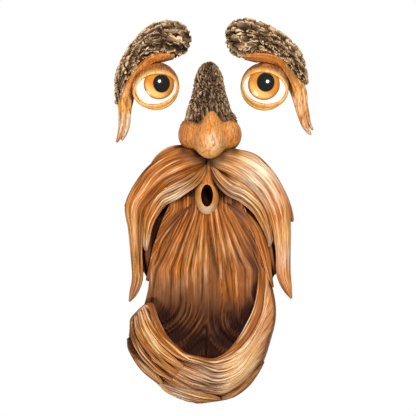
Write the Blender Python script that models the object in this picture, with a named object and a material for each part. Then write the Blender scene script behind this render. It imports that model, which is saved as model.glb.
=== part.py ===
"""Tree face bird feeder: three resin castings that hang on a tree trunk as one face.

The beard casting carries the nose, the moustache, the mouth and the beard, which curls forward
into a seed bowl. The two eye castings each carry a brow, lids, an eyeball and a tail. All backs
are flat and lie in the plane Y = 0, the tree is at +Y and the face looks along -Y. The origin
is on the flat back of the beard casting, just below the mouth.

Free forms are drawn in drawing units, each a share of the casting's own height. A lock of hair,
a strip of bark or a lid is swept along rows of (x, z, depth, width, height).
"""

import math

import bmesh
import bpy
import numpy as np

# Heights of the castings and their places, in metres.
BEARD_HEIGHT = 0.343
LEFT_EYE_HEIGHT = 0.1255
RIGHT_EYE_HEIGHT = 0.1205
LEFT_EYE_CENTRE = (-0.052, 0.123)
RIGHT_EYE_CENTRE = (0.0565, 0.1225)

# The seed bowl and the beard behind it, in metres.
BOWL_DEPTH = 0.090
BOWL_WALL = 0.012
BOWL_FLOOR = 0.011
PANEL_THICKNESS = 0.013
PANEL_EDGE_THICKNESS = 0.021
PANEL_STRANDS = 11
STRAND_DEPTH = 0.0026
BOWL_STRAND_DEPTH = 0.0034
BACKING_THICKNESS = 0.006

# The nose and the mouth, in metres.
NOSE_REACH = 0.070
MOUTH_BOTTOM_DEPTH = 0.013
LIP_REACH = 0.036

# The eyes, in drawing units.
SOCKET_RADIUS = 23.5
SOCKET_REACH = 31.0
EYEBALL_RADIUS = 0.87 * SOCKET_RADIUS
EYEBALL_REACH = 36.0
LID_REACH = 37.5
LID_WIDTH = 5.5
LID_THICKNESS = 3.5
LID_FALL = 12.0
LID_SINK = 3.5

# Bark scales on the nose and the brows, in metres.
BARK_SCALE_HEIGHT = 0.0022

# Keyhole sockets in the backs, in metres.
SCREW_HEAD_HOLE = 0.010
SCREW_SHANK_SLOT = 0.005
KEYHOLE_TRAVEL = 0.010
KEYHOLE_DEPTH = 0.010
KEYHOLE_FACE = 0.0035

# The drawings' own heights, in drawing units.
BEARD_DRAWING = 343.0
LEFT_EYE_DRAWING = 125.5
RIGHT_EYE_DRAWING = 120.5
BEARD_UNIT = BEARD_HEIGHT / BEARD_DRAWING
LEFT_EYE_UNIT = LEFT_EYE_HEIGHT / LEFT_EYE_DRAWING
RIGHT_EYE_UNIT = RIGHT_EYE_HEIGHT / RIGHT_EYE_DRAWING
BEARD_KEYHOLE = (0.0, 52.0 * BEARD_UNIT)
LEFT_EYE_KEYHOLE = (LEFT_EYE_CENTRE[0] + 4.0 * LEFT_EYE_UNIT,
                    LEFT_EYE_CENTRE[1] + 20.0 * LEFT_EYE_UNIT)
RIGHT_EYE_KEYHOLE = (RIGHT_EYE_CENTRE[0] - 4.5 * RIGHT_EYE_UNIT,
                     RIGHT_EYE_CENTRE[1] + 20.5 * RIGHT_EYE_UNIT)

# How far every form starts behind the plane of the back, before the back is cut flat.
OVERCUT = 0.003
RING_STEP = 0.0098
BARK_RING_STEP = 0.0075

# Width of one ridge of a lock, in drawing units.
RIDGE_SPACING = 7.5


def smooth(stations, count, measure=2):
    """A Catmull-Rom curve through rows of numbers, at even steps of the chord length."""
    rows = np.asarray(stations, dtype=float)
    padded = np.vstack([2.0 * rows[0] - rows[1], rows, 2.0 * rows[-1] - rows[-2]])
    chords = np.linalg.norm(np.diff(rows[:, :measure], axis=0), axis=1)
    knots = np.concatenate([[0.0], np.cumsum(chords)])
    where = np.linspace(0.0, knots[-1], count)
    span = np.clip(np.searchsorted(knots, where, side="right") - 1, 0, len(rows) - 2)
    t = ((where - knots[span]) / chords[span])[:, None]
    before, start, end, after = (padded[span + step] for step in range(4))
    linear = end - before
    square = 2.0 * before - 5.0 * start + 4.0 * end - after
    cube = 3.0 * start - before - 3.0 * end + after
    return 0.5 * (2.0 * start + linear * t + square * t**2 + cube * t**3)


def unit_rows(vectors):
    """Each row of an array at length one."""
    return vectors / np.linalg.norm(vectors, axis=-1, keepdims=True)


def new_object(name, bm):
    """An object from a bmesh, with its faces turned outwards."""
    bm.normal_update()
    bmesh.ops.recalc_face_normals(bm, faces=bm.faces)
    if bm.calc_volume(signed=True) < 0.0:
        bmesh.ops.reverse_faces(bm, faces=bm.faces)
    mesh = bpy.data.meshes.new(name)
    bm.to_mesh(mesh)
    bm.free()
    item = bpy.data.objects.new(name, mesh)
    bpy.context.scene.collection.objects.link(item)
    return item


def skin(name, rings, plane_ends=False):
    """A closed solid through a stack of closed rings.

    Each end ring is closed by one flat face where the ends are plane, else by a fan.
    """
    bm = bmesh.new()
    count = rings.shape[1]
    grid = [[bm.verts.new(point) for point in ring] for ring in rings]
    for lower, upper in zip(grid[:-1], grid[1:]):
        for j in range(count):
            after = (j + 1) % count
            bm.faces.new((lower[j], lower[after], upper[after], upper[j]))
    for ring, row in ((rings[0], grid[0]), (rings[-1], grid[-1])):
        if plane_ends:
            bm.faces.new(row)
            continue
        centre = bm.verts.new(ring.mean(axis=0))
        for j in range(count):
            bm.faces.new((row[j], row[(j + 1) % count], centre))
    return new_object(name, bm)


def lock(name, stations, unit, centre=(0.0, 0.0), groove=0.2, bark=0.0, sink=None,
         axis=None, step=RING_STEP):
    """A lock of hair, a strip of bark or a lid, swept along its stations.

    Each station is x, z, depth, width and height in drawing units: the lock's middle line runs
    at that depth and its crest rises by the height. A lock reaches back to the tree, or below
    its middle line by sink times its height. A lock with an axis point (x, z) faces away from
    that point, as hair around the bowl does.
    """
    rows = np.asarray(stations, dtype=float)
    ridges = max(1, round(rows[:, 3].max() / RIDGE_SPACING))
    length = np.linalg.norm(np.diff(rows[:, :3], axis=0), axis=1).sum() * unit
    rows = smooth(rows, max(5, int(length / step) + 1), 3) * unit
    spine = np.stack([rows[:, 0] + centre[0], -rows[:, 2], rows[:, 1] + centre[1]], axis=1)
    width = np.maximum(rows[:, 3:4], 0.6 * unit)
    height = np.maximum(rows[:, 4:5], 0.6 * unit)
    along = unit_rows(np.gradient(spine, axis=0))
    outward = np.tile((0.0, -1.0, 0.0), (len(spine), 1))
    if axis is not None:
        middle = np.array((axis[0] * unit, 0.0, axis[1] * unit))
        outward = unit_rows(spine - middle)
    across = unit_rows(np.cross(along, outward))
    raised = np.cross(across, along)
    rings = []
    for j in range(2 * ridges + 1):
        share = -1.0 + j / ridges
        crest = math.sqrt(max(0.0, 1.0 - 0.94 * share * share))
        if j % 2 == 0 and 0 < j < 2 * ridges:
            crest -= groove
        scale = bark * ((np.arange(len(spine)) + j // 2) % 2)[:, None]
        rings.append(spine + across * width * 0.5 * share + raised * (height * crest + scale))
    if sink is None:
        for side in (0.96, -0.96):
            edge = spine + across * width * 0.5 * side
            edge[:, 1] = OVERCUT
            rings.append(edge)
    else:
        for side in (0.6, -0.6):
            rings.append(spine + across * width * 0.5 * side - raised * height * sink)
    return skin(name, np.stack(rings, axis=1))


def bulb(name, centre, radii, segments=14, rounds=9):
    """An ellipsoid at (x, depth, z) with radii in the same order, in metres."""
    bm = bmesh.new()
    bmesh.ops.create_uvsphere(bm, u_segments=segments, v_segments=rounds, radius=1.0)
    for vertex in bm.verts:
        side, depth, up = vertex.co.x, vertex.co.y, vertex.co.z
        vertex.co = (centre[0] + radii[0] * side, -centre[1] - radii[1] * depth,
                     centre[2] + radii[2] * up)
    return new_object(name, bm)


def block(name, low, high):
    """A box between two corners."""
    bm = bmesh.new()
    bmesh.ops.create_cube(bm, size=1.0)
    for vertex in bm.verts:
        vertex.co = [low[k] + (vertex.co[k] + 0.5) * (high[k] - low[k]) for k in range(3)]
    return new_object(name, bm)


def rod(name, radius, place, back, front, sides=12):
    """A round rod along Y at (x, z), from one depth to another."""
    bm = bmesh.new()
    bmesh.ops.create_cone(bm, segments=sides, radius1=radius, radius2=radius, depth=1.0,
                          cap_ends=True)
    for vertex in bm.verts:
        along = vertex.co.z + 0.5
        vertex.co = (place[0] + vertex.co.x, -(back + along * (front - back)),
                     place[1] + vertex.co.y)
    return new_object(name, bm)


def combine(target, others, operation):
    """Joins or cuts one solid with others, exactly, and removes the others."""
    for other in others:
        modifier = target.modifiers.new(operation.title(), "BOOLEAN")
        modifier.operation = operation
        modifier.solver = "EXACT"
        modifier.object = other
        graph = bpy.context.evaluated_depsgraph_get()
        mesh = bpy.data.meshes.new_from_object(target.evaluated_get(graph))
        target.modifiers.clear()
        old = target.data
        target.data = mesh
        bpy.data.meshes.remove(old)
        bpy.data.objects.remove(other)
    return target


def keyhole(place):
    """Cutters of one keyhole socket: a round entry, a slot above it and a wider chamber."""
    x, z = place
    entry = rod("entry", SCREW_HEAD_HOLE / 2, place, -OVERCUT, KEYHOLE_DEPTH)
    slot = block("slot", (x - SCREW_SHANK_SLOT / 2, -KEYHOLE_DEPTH, z),
                 (x + SCREW_SHANK_SLOT / 2, OVERCUT, z + KEYHOLE_TRAVEL))
    chamber = block("chamber", (x - SCREW_HEAD_HOLE / 2, -KEYHOLE_DEPTH, z),
                    (x + SCREW_HEAD_HOLE / 2, -KEYHOLE_FACE, z + KEYHOLE_TRAVEL))
    return combine(entry, [slot, chamber], "UNION")


def finish_casting(casting, place, colour, roughness):
    """Cuts the back flat, cuts the keyhole and gives the casting its material."""
    tree = block("tree", (-1.0, 0.0, -1.0), (1.0, 1.0, 1.0))
    combine(casting, [tree, keyhole(place)], "DIFFERENCE")
    material = bpy.data.materials.new(casting.name)
    material.use_nodes = True
    shader = material.node_tree.nodes["Principled BSDF"]
    shader.inputs["Base Color"].default_value = (*colour, 1.0)
    shader.inputs["Roughness"].default_value = roughness
    shader.inputs["Metallic"].default_value = 0.0
    casting.data.materials.clear()
    casting.data.materials.append(material)


# The bowl's outline from the front: height, left edge, right edge and reach as a share.
BOWL_OUTLINE = (
    (-46, -58, 52, 0.42), (-70, -66, 62, 0.60), (-95, -74, 68, 0.76), (-114, -79, 68, 0.86),
    (-134, -80, 63, 0.94), (-150, -76, 58, 1.00), (-165, -64, 51, 0.98), (-177, -52, 41, 0.88),
    (-187, -40, 30, 0.68), (-193, -29, 19, 0.47), (-197, -13, -7, 0.16),
)
# The rim's height at angles around the bowl, from the left at the tree to the right at the tree.
BOWL_RIM = (
    (0, -114), (18, -106), (36, -97), (47, -112), (60, -131), (75, -145), (90, -150),
    (105, -152), (120, -144), (132, -131), (141, -110), (151, -82), (165, -63), (180, -50),
)


def bowl_shape(heights):
    """Middle, half width and reach of the bowl at heights, in metres."""
    rows = smooth(BOWL_OUTLINE, 80, 3)
    rows = rows[np.argsort(rows[:, 0])]
    z, left, right, reach = rows.T
    level = heights / BEARD_UNIT
    low = np.interp(level, z, left) * BEARD_UNIT
    high = np.interp(level, z, right) * BEARD_UNIT
    return (low + high) / 2, (high - low) / 2, np.interp(level, z, reach) * BOWL_DEPTH


def bowl_depth(x, z):
    """How far the bowl's outside stands from the tree at a point of the front view."""
    middle, half, reach = bowl_shape(np.array([z * BEARD_UNIT]))
    side = min(0.98, abs(x * BEARD_UNIT - middle[0]) / half[0])
    return float(reach[0]) * (1.0 - side * side) ** 0.425 / BEARD_UNIT


def bowl_surface(rim, bottom, inset, angles, rows):
    """Points of the bowl between its rim and its bottom, set in from the outside by inset."""
    fall = np.sin(np.linspace(0.0, math.pi / 2, rows)) ** 1.15
    height = rim[None, :] + (bottom - rim[None, :]) * fall[:, None]
    middle, half, reach = bowl_shape(height - inset)
    half = np.maximum(half - inset, 0.0008)
    reach = np.maximum(reach - inset, 0.0008)
    side = np.cos(angles)[None, :]
    forward = np.abs(np.sin(angles))[None, :] ** 0.85
    return np.stack([middle - half * side, -reach * forward, height], axis=2)


def bowl():
    """The beard's front wall, from its left tip round the bowl and up its right side."""
    rim_rows = smooth(BOWL_RIM, 60, 1)
    angles = np.radians(np.linspace(0.0, 180.0, 27))
    rim = np.interp(np.degrees(angles), rim_rows[:, 0], rim_rows[:, 1]) * BEARD_UNIT
    lowest = BOWL_OUTLINE[-1][0] * BEARD_UNIT
    outer = bowl_surface(rim, lowest, 0.0, angles, 15)
    strand = BOWL_STRAND_DEPTH * (np.arange(15) % 2)[:, None, None]
    inward = np.array((0.0, 1.0, 0.0)) * np.sin(angles)[None, :, None]
    inward = inward + np.array((1.0, 0.0, 0.0)) * np.cos(angles)[None, :, None]
    outer[1:-2] += (strand * inward)[1:-2]
    inner = bowl_surface(rim, lowest + BOWL_FLOOR, BOWL_WALL, angles, 8)[::-1]
    loops = np.concatenate([outer, inner], axis=0)
    behind = loops.copy()
    behind[:, :, 1] = OVERCUT
    rings = np.concatenate([behind[:, :1], loops, behind[:, -1:]], axis=1)
    return skin("bowl", rings.transpose(1, 0, 2), plane_ends=True)


# The beard behind the bowl: height, left edge, right edge and swell over its thickness.
PANEL_OUTLINE = (
    (34, -22, 22, 11), (14, -33, 31, 7), (-8, -44, 40, 3), (-30, -52, 47, 1),
    (-55, -58, 53, 0), (-80, -60, 58, 0), (-105, -66, 61, 0), (-130, -71, 58, 1),
    (-150, -68, 52, 3), (-168, -56, 42, 9), (-186, -34, 22, 17),
)


def panel():
    """The flat beard with strands that fan out from the mouth, down to the bowl's floor."""
    rows = smooth(PANEL_OUTLINE, 16, 1) * BEARD_UNIT
    columns = 2 * PANEL_STRANDS + 1
    share = np.linspace(-1.0, 1.0, columns)
    edge = PANEL_EDGE_THICKNESS - PANEL_THICKNESS
    strand = STRAND_DEPTH * (np.arange(columns) % 2)
    rings = []
    for height, left, right, depth in rows:
        across = (left + right) / 2 + (right - left) / 2 * share
        front = depth + PANEL_THICKNESS + edge * share**4 + strand
        face = np.stack([across, -front, np.full(columns, height)], axis=1)
        back = np.array([(right, OVERCUT, height), (left, OVERCUT, height)])
        rings.append(np.concatenate([face, back], axis=0))
    return skin("panel", np.stack(rings), plane_ends=True)


def backing():
    """A thin plate that closes the creases between the moustache and the beard."""
    rings = []
    for height, left, right in np.array(BACKING_OUTLINE) * BEARD_UNIT:
        rings.append([(left, -BACKING_THICKNESS, height), (right, -BACKING_THICKNESS, height),
                      (right, OVERCUT, height), (left, OVERCUT, height)])
    return skin("backing", np.array(rings), plane_ends=True)


MOUSTACHE = (
    # Viewer's left: main lock, inner lock, small upper lock, side lock and dark back lock.
    ((-6, 50, 27, 20, 17), (-26, 46, 31, 30, 18), (-47, 35, 31, 29, 18),
     (-61.5, 19.5, 28, 27, 17), (-73, 1, 24, 22, 15), (-73, -20, 19, 16, 12),
     (-72, -45, 15, 13, 10), (-71, -70, 13, 12, 9), (-75, -85, 12, 9, 7),
     (-79, -94, 12, 2, 3)),
    ((-5, 38, 25, 10, 12), (-14, 29, 27, 16, 13), (-33, 18, 26, 20, 13),
     (-48, 10, 24, 20, 13), (-59, -8, 20, 16, 12), (-62, -21, 17, 12, 10),
     (-63, -36, 15, 8, 8), (-62, -43, 14, 2, 3)),
    ((-22, 56, 22, 16, 14), (-36, 54, 22, 17, 13), (-47, 50, 20, 12, 10),
     (-56, 45, 18, 3, 4)),
    ((-43, 40, 23, 18, 15), (-57, 31, 23, 20, 15), (-67, 18.5, 21, 18, 14),
     (-75.5, 8, 18, 13, 10), (-83, 2, 16, 3, 4)),
    ((-54, -8, 6, 14, 10), (-60, -30, 6, 12, 10), (-61, -48, 6, 10, 9),
     (-60, -67, 6, 3, 4)),
    # Viewer's right: main lock, inner lock, outer lock and dark back lock.
    ((6, 50, 27, 20, 17), (26, 46, 31, 28, 18), (44, 36, 31, 30, 18),
     (60, 20, 28, 28, 17), (70, 0, 24, 25, 15), (74, -22, 19, 19, 12),
     (75.5, -45, 15, 16, 10), (76, -66, 13, 15, 9), (80, -81, 12, 10, 7),
     (84, -91, 12, 2, 3)),
    ((4, 41, 25, 9, 12), (14, 27, 27, 16, 13), (24, 20, 27, 19, 13),
     (37, 14, 26, 20, 13), (51, 1, 23, 18, 12), (58, -15, 18, 13, 10),
     (62, -30, 15, 8, 8), (61.5, -39, 14, 2, 3)),
    ((28, 50, 23, 20, 15), (44, 44, 24, 22, 15), (59, 29, 23, 21, 14),
     (71, 11, 20, 18, 12), (80, -4, 17, 11, 9), (85, -13, 15, 3, 4)),
    ((54, -12, 6, 14, 10), (61, -32, 6, 12, 10), (64, -50, 6, 10, 9),
     (67, -67, 6, 3, 4)),
)

# Locks of the beard: one down each edge of the panel.
BEARD_LOCKS = (
    ((-14, 4, 14, 8, 8), (-36, -14, 12, 12, 9), (-49, -34, 11, 12, 9),
     (-54, -56, 11, 10, 8), (-60, -72, 11, 4, 5)),
    ((14, 4, 14, 8, 8), (32, -10, 12, 12, 9), (44, -26, 11, 12, 9),
     (52, -48, 11, 12, 9), (60, -70, 11, 8, 6), (65, -80, 11, 3, 4)),
)

# The backing behind the creases between moustache and beard: height, left and right edge.
BACKING_OUTLINE = ((36, -40, 40), (12, -64, 60), (-12, -70, 68), (-40, -69, 71), (-62, -66, 70),
                   (-76, -58, 62))

# Locks that lie on the bowl's outside, as rows of (x, z, width, height): two at the lower left,
# one along the bottom and one that sweeps up its right side.
BOWL_LOCKS = (
    ((-68, -107, 10, 5), (-69, -122, 18, 5), (-60, -142, 20, 5), (-43, -158, 18, 5),
     (-24, -166, 12, 5), (-14, -169, 3, 3)),
    ((-76, -134, 12, 5), (-70, -150, 18, 5), (-57, -165, 18, 5), (-45, -175, 12, 5),
     (-38, -180, 3, 3)),
    ((-46, -171, 8, 4), (-35, -179, 16, 5), (-18, -186, 15, 5), (0, -188, 10, 4),
     (9, -188, 3, 3)),
    ((12, -187, 5, 4), (25, -180, 14, 5), (40, -166, 18, 5), (52, -146, 18, 5),
     (59, -122, 13, 5), (61, -102, 4, 3)),
)
BOWL_LOCK_SET = 1.0
BOWL_LOCK_SINK = 0.7
BOWL_AXIS = (-6, -130)
BOWL_KEEL = (-10 * BEARD_UNIT, 0.0, BOWL_OUTLINE[-1][0] * BEARD_UNIT + BOWL_FLOOR)
BOWL_KEEL_RADII = (BOWL_WALL, BOWL_DEPTH / 3, BOWL_FLOOR)

NOSE_BARK = ((1, 147, 8, 6, 6), (1, 140, 14, 19, 12), (1, 128, 17, 28, 18),
             (1, 114, 20, 33, 23), (1, 101, 24, 41, 25), (1, 93, 26, 47, 24))
NOSE_WOOD = ((3, 112, 18, 28, 22), (3, 98, 25, 37, 25), (2, 88, 27, 46, 26),
             (2, 78, 27, 50, 26), (2, 66, 24, 34, 20))
NOSE_ROOT = ((2, 96, 2, 34, 26), (2, 70, 4, 52, 30), (0, 44, 4, 34, 28), (0, 26, 4, 16, 20))


# The mouth's centre, half width and half height, and the nose's tip and wings as rows of
# x, z, half width, half height and, for the wings, how far their front lies behind the tip's.
MOUTH_CENTRE = (-1.0, 12.5)
MOUTH_HALF_SIZE = (7.3, 14.0)
LIP_WIDTH = 7.0
HOLE_LEAD = 20.0
NOSE_TIP = (2.0, 70.5, 17.5, 21.5)
NOSE_TIP_DEPTH = 28.0
NOSE_WINGS = ((-17.0, 72.0, 13.5, 14.5), (21.0, 72.0, 14.0, 14.5))
WING_DEPTH = 20.0
WING_SETBACK = 20.0


def mouth():
    """Pouting lips as a ring of ellipsoid form, and the cutter that opens them."""
    x, z = (share * BEARD_UNIT for share in MOUTH_CENTRE)
    half_width, half_height = (share * BEARD_UNIT for share in MOUTH_HALF_SIZE)
    rim = LIP_WIDTH * BEARD_UNIT
    lips = bulb("lips", (x, 0.0, z), (half_width + rim, LIP_REACH, half_height + rim))
    depth = LIP_REACH + HOLE_LEAD * BEARD_UNIT
    hole = bulb("hole", (x, depth, z), (half_width, depth - MOUTH_BOTTOM_DEPTH, half_height))
    return lips, hole


def nose():
    """The bark bridge, the root behind it, the tip and the two wings."""
    parts = [lock("root", NOSE_ROOT, BEARD_UNIT, groove=0.0),
             lock("wood", NOSE_WOOD, BEARD_UNIT, groove=0.0),
             lock("bark", NOSE_BARK, BEARD_UNIT, groove=0.05, bark=BARK_SCALE_HEIGHT,
                  step=BARK_RING_STEP)]
    for name, row, half_depth, setback in (
            ("tip", NOSE_TIP, NOSE_TIP_DEPTH, 0.0),
            ("wing", NOSE_WINGS[0], WING_DEPTH, WING_SETBACK),
            ("wing", NOSE_WINGS[1], WING_DEPTH, WING_SETBACK)):
        x, z, half_width, half_height = (share * BEARD_UNIT for share in row)
        half_depth = half_depth * BEARD_UNIT
        centre = NOSE_REACH - setback * BEARD_UNIT - half_depth
        parts.append(bulb(name, (x, centre, z), (half_width, half_depth, half_height)))
    return parts


def beard_casting():
    """Nose, moustache, mouth, beard and bowl as one solid."""
    casting = panel()
    casting.name = "beard_casting"
    lips, hole = mouth()
    keel = bulb("keel", BOWL_KEEL, BOWL_KEEL_RADII)
    parts = [bowl(), keel, backing(), lips]
    for stations in BEARD_LOCKS + MOUSTACHE:
        parts.append(lock("lock", stations, BEARD_UNIT))
    for rows in BOWL_LOCKS:
        stations = [(x, z, bowl_depth(x, z) - BOWL_LOCK_SET, width, height)
                    for x, z, width, height in rows]
        parts.append(lock("lock", stations, BEARD_UNIT, sink=BOWL_LOCK_SINK, axis=BOWL_AXIS))
    parts += nose()
    combine(casting, parts, "UNION")
    combine(casting, [hole], "DIFFERENCE")
    finish_casting(casting, BEARD_KEYHOLE, (0.36, 0.17, 0.06), 0.5)


LEFT_BROW = ((-40, -18, 4, 4, 5), (-38, -3, 6, 9, 8), (-35, 9, 9, 14, 12), (-28, 21, 13, 19, 17),
             (-18, 33, 16, 24, 22), (-6, 43, 17, 29, 25), (6, 48, 17, 35, 27),
             (16, 47.5, 16, 37, 26), (24, 46, 13, 32, 20), (29, 45, 9, 20, 9))
LEFT_STRIP = ((20, 26, 16, 5, 18), (8, 27, 17, 11, 20), (-5, 25, 16, 12, 19),
              (-15, 17, 13, 12, 16), (-24, 6, 9, 13, 13), (-30, -5, 6, 15, 10),
              (-32, -16, 5, 17, 9), (-33, -27, 5, 13, 8), (-34, -38, 5, 11, 7),
              (-37, -48, 5, 7, 6), (-41, -57, 5, 2, 3))
LEFT_PRONG = ((-29, -28, 4, 6, 7), (-30, -40, 4, 6, 7), (-33, -49, 4, 5, 5), (-36, -55, 4, 2, 2))
LEFT_UPPER_LID = ((-0.98, -0.26), (-0.68, 0.21), (-0.26, 0.53), (0.21, 0.64), (0.60, 0.49),
                  (0.94, 0.04))
LEFT_LOWER_LID = ((-0.94, -0.30), (-0.64, -0.64), (-0.21, -0.85), (0.26, -0.85), (0.68, -0.60),
                  (0.94, 0.00))

RIGHT_BROW = ((42, 3, 4, 4, 5), (39, 10, 6, 9, 8), (34, 19, 10, 15, 13), (27, 31, 14, 20, 18),
              (16, 40, 16, 24, 22), (4, 46, 17, 28, 25), (-9, 49, 17, 35, 27),
              (-19, 49, 16, 40, 26), (-28, 48.5, 13, 35, 20), (-34, 48, 9, 22, 9))
RIGHT_STRIP = ((-21, 27, 16, 5, 18), (-9, 27, 17, 10, 20), (4, 27, 16, 13, 19),
               (15, 23, 13, 13, 16), (24, 13, 9, 13, 13), (31, 3, 6, 15, 10),
               (35, -7, 5, 17, 9), (37, -19, 5, 14, 8), (39, -31, 5, 10, 7),
               (42, -41, 5, 7, 6), (47, -49, 5, 2, 3))
RIGHT_PRONG = ((40, -14, 4, 6, 7), (43, -26, 4, 5, 7), (45, -36, 4, 4, 5), (49, -44, 4, 2, 2))
RIGHT_UPPER_LID = ((-0.98, 0.00), (-0.64, 0.47), (-0.26, 0.68), (0.21, 0.68), (0.60, 0.43),
                   (0.94, -0.17))
RIGHT_LOWER_LID = ((-0.94, -0.04), (-0.72, -0.55), (-0.30, -0.81), (0.17, -0.85), (0.64, -0.64),
                   (0.94, -0.17))


def eye_casting(name, drawing, unit, centre, key):
    """Brow, strip of wood with its tail, socket, lids and eyeball as one solid."""
    brow, strip, prong, upper, lower = drawing
    socket, reach, ball = (size * unit for size in (SOCKET_RADIUS, SOCKET_REACH, EYEBALL_RADIUS))
    casting = bulb(name, (centre[0], 0.0, centre[1]), (socket, reach, socket), 16, 11)
    ball_depth = EYEBALL_REACH * unit - ball
    parts = [bulb("ball", (centre[0], ball_depth, centre[1] - unit), [ball] * 3, 14, 11)]
    parts.append(lock("brow", brow, unit, centre, 0.03, BARK_SCALE_HEIGHT, step=BARK_RING_STEP))
    parts.append(lock("strip", strip, unit, centre, 0.1))
    parts.append(lock("prong", prong, unit, centre, 0.0))
    for lid in (upper, lower):
        rows = []
        for x, z in lid:
            outside = min(1.0, math.hypot(x, z))
            depth = LID_REACH - LID_THICKNESS - LID_FALL * outside**6
            rows.append((x * SOCKET_RADIUS, z * SOCKET_RADIUS, depth, LID_WIDTH, LID_THICKNESS))
        parts.append(lock("lid", rows, unit, centre, 0.0, sink=LID_SINK, step=BARK_RING_STEP))
    combine(casting, parts, "UNION")
    finish_casting(casting, key, (0.45, 0.22, 0.08), 0.45)


def build():
    """Clears the scene and makes the three castings."""
    for item in list(bpy.data.objects):
        bpy.data.objects.remove(item)
    beard_casting()
    eye_casting("left_eye", (LEFT_BROW, LEFT_STRIP, LEFT_PRONG, LEFT_UPPER_LID, LEFT_LOWER_LID),
                LEFT_EYE_UNIT, LEFT_EYE_CENTRE, LEFT_EYE_KEYHOLE)
    eye_casting("right_eye",
                (RIGHT_BROW, RIGHT_STRIP, RIGHT_PRONG, RIGHT_UPPER_LID, RIGHT_LOWER_LID),
                RIGHT_EYE_UNIT, RIGHT_EYE_CENTRE, RIGHT_EYE_KEYHOLE)


build()
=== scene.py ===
"""Looks of the tree face bird feeder: three carved and stained resin castings on a tree.

The frame gives the plain castings. Each is replaced by one carved piece of the same form: its
locks of hair, bark, lids and lips are surfaces worked out on grids, joined into one closed mesh
and cut flat at the back. The drawings are in millimetres at the castings' real size, with x to
the viewer's right, z up and depth towards the viewer.
"""

import logging
import math
from dataclasses import dataclass
from enum import Enum
from functools import partialmethod

import bmesh
import bpy
import numpy as np
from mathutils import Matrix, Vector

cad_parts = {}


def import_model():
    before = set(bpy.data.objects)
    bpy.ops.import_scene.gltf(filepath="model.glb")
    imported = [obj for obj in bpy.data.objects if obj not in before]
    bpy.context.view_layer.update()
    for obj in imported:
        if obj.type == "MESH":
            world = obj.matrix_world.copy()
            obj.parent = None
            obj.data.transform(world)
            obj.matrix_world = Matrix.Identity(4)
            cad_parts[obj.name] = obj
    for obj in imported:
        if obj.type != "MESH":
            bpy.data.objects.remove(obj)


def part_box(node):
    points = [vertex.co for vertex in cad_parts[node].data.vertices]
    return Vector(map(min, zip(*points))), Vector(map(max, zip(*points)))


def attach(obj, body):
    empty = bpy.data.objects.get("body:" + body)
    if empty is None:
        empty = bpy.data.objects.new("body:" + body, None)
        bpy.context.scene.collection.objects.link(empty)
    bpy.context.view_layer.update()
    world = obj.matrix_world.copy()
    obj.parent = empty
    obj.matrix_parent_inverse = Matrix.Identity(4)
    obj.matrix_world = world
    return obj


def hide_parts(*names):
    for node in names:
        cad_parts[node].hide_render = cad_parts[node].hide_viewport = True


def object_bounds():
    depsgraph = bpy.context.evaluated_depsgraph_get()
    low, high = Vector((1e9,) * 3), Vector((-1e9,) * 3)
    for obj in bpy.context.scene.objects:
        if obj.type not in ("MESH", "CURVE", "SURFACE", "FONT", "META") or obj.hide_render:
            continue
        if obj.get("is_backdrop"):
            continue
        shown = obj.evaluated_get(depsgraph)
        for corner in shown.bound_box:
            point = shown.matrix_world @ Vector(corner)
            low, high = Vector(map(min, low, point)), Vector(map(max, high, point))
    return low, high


LOG = logging.getLogger("tree_face")
MM = 0.001
# How far forms run past the flat back that they are cut to, and half the size of the cutting block
OVERCUT = 3.0
TREE = 500.0


def linear(red: float, green: float, blue: float) -> tuple[float, float, float]:
    """A screen colour of 0 to 255 as linear light."""
    return tuple(
        (level / 255.0 / 12.92) if level <= 10.31 else ((level / 255.0 + 0.055) / 1.055) ** 2.4
        for level in (red, green, blue))


class Tone(Enum):
    """Paints of the castings, as linear light."""

    AMBER = linear(222, 130, 30)
    BROWN = linear(206, 126, 50)
    TAN = linear(230, 166, 92)
    PALE = linear(250, 204, 144)
    CREAM = linear(255, 230, 192)
    GREYED = linear(222, 172, 132)
    UMBER = linear(126, 76, 40)
    # Painted deep shade inside the bowl and in the mouth's hollow
    DARK = linear(54, 18, 4)
    HONEY = linear(180, 98, 8)
    GOLD = linear(244, 182, 84)
    PURPLE = linear(86, 52, 34)
    BARK = linear(240, 234, 226)
    BARK_DARK = linear(204, 196, 190)
    SHADE = linear(84, 44, 20)
    PLAIN = linear(126, 84, 50)

    def __call__(self) -> np.ndarray:
        """The tone as an array."""
        return np.array(self.value)


class Finish(Enum):
    """Which material a form carries, by its slot on the piece."""

    HAIR = 0
    BARK = 1
    SKIN = 2
    BALL = 3
    BACK = 4


# Fields of numbers


def step(low: float, high: float, value: np.ndarray) -> np.ndarray:
    """A smooth rise from 0 at low to 1 at high."""
    t = np.clip((value - low) / (high - low), 0.0, 1.0)
    return t * t * (3.0 - 2.0 * t)


def scatter(i: np.ndarray, j: np.ndarray, seed: float) -> np.ndarray:
    """A repeatable number from 0 to 1 for each whole cell (i, j)."""
    value = np.sin(i * 127.1 + j * 311.7 + seed * 74.7) * 43758.5453
    return value - np.floor(value)


def drift(x: np.ndarray, y: np.ndarray, seed: float = 0.0) -> np.ndarray:
    """Smooth noise from 0 to 1: cell numbers blended by a smooth step in both directions."""
    i, j = np.floor(x), np.floor(y)
    u, v = x - i, y - j
    u, v = u * u * (3.0 - 2.0 * u), v * v * (3.0 - 2.0 * v)
    low = scatter(i, j, seed) * (1.0 - u) + scatter(i + 1, j, seed) * u
    high = scatter(i, j + 1, seed) * (1.0 - u) + scatter(i + 1, j + 1, seed) * u
    return low * (1.0 - v) + high * v


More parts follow.
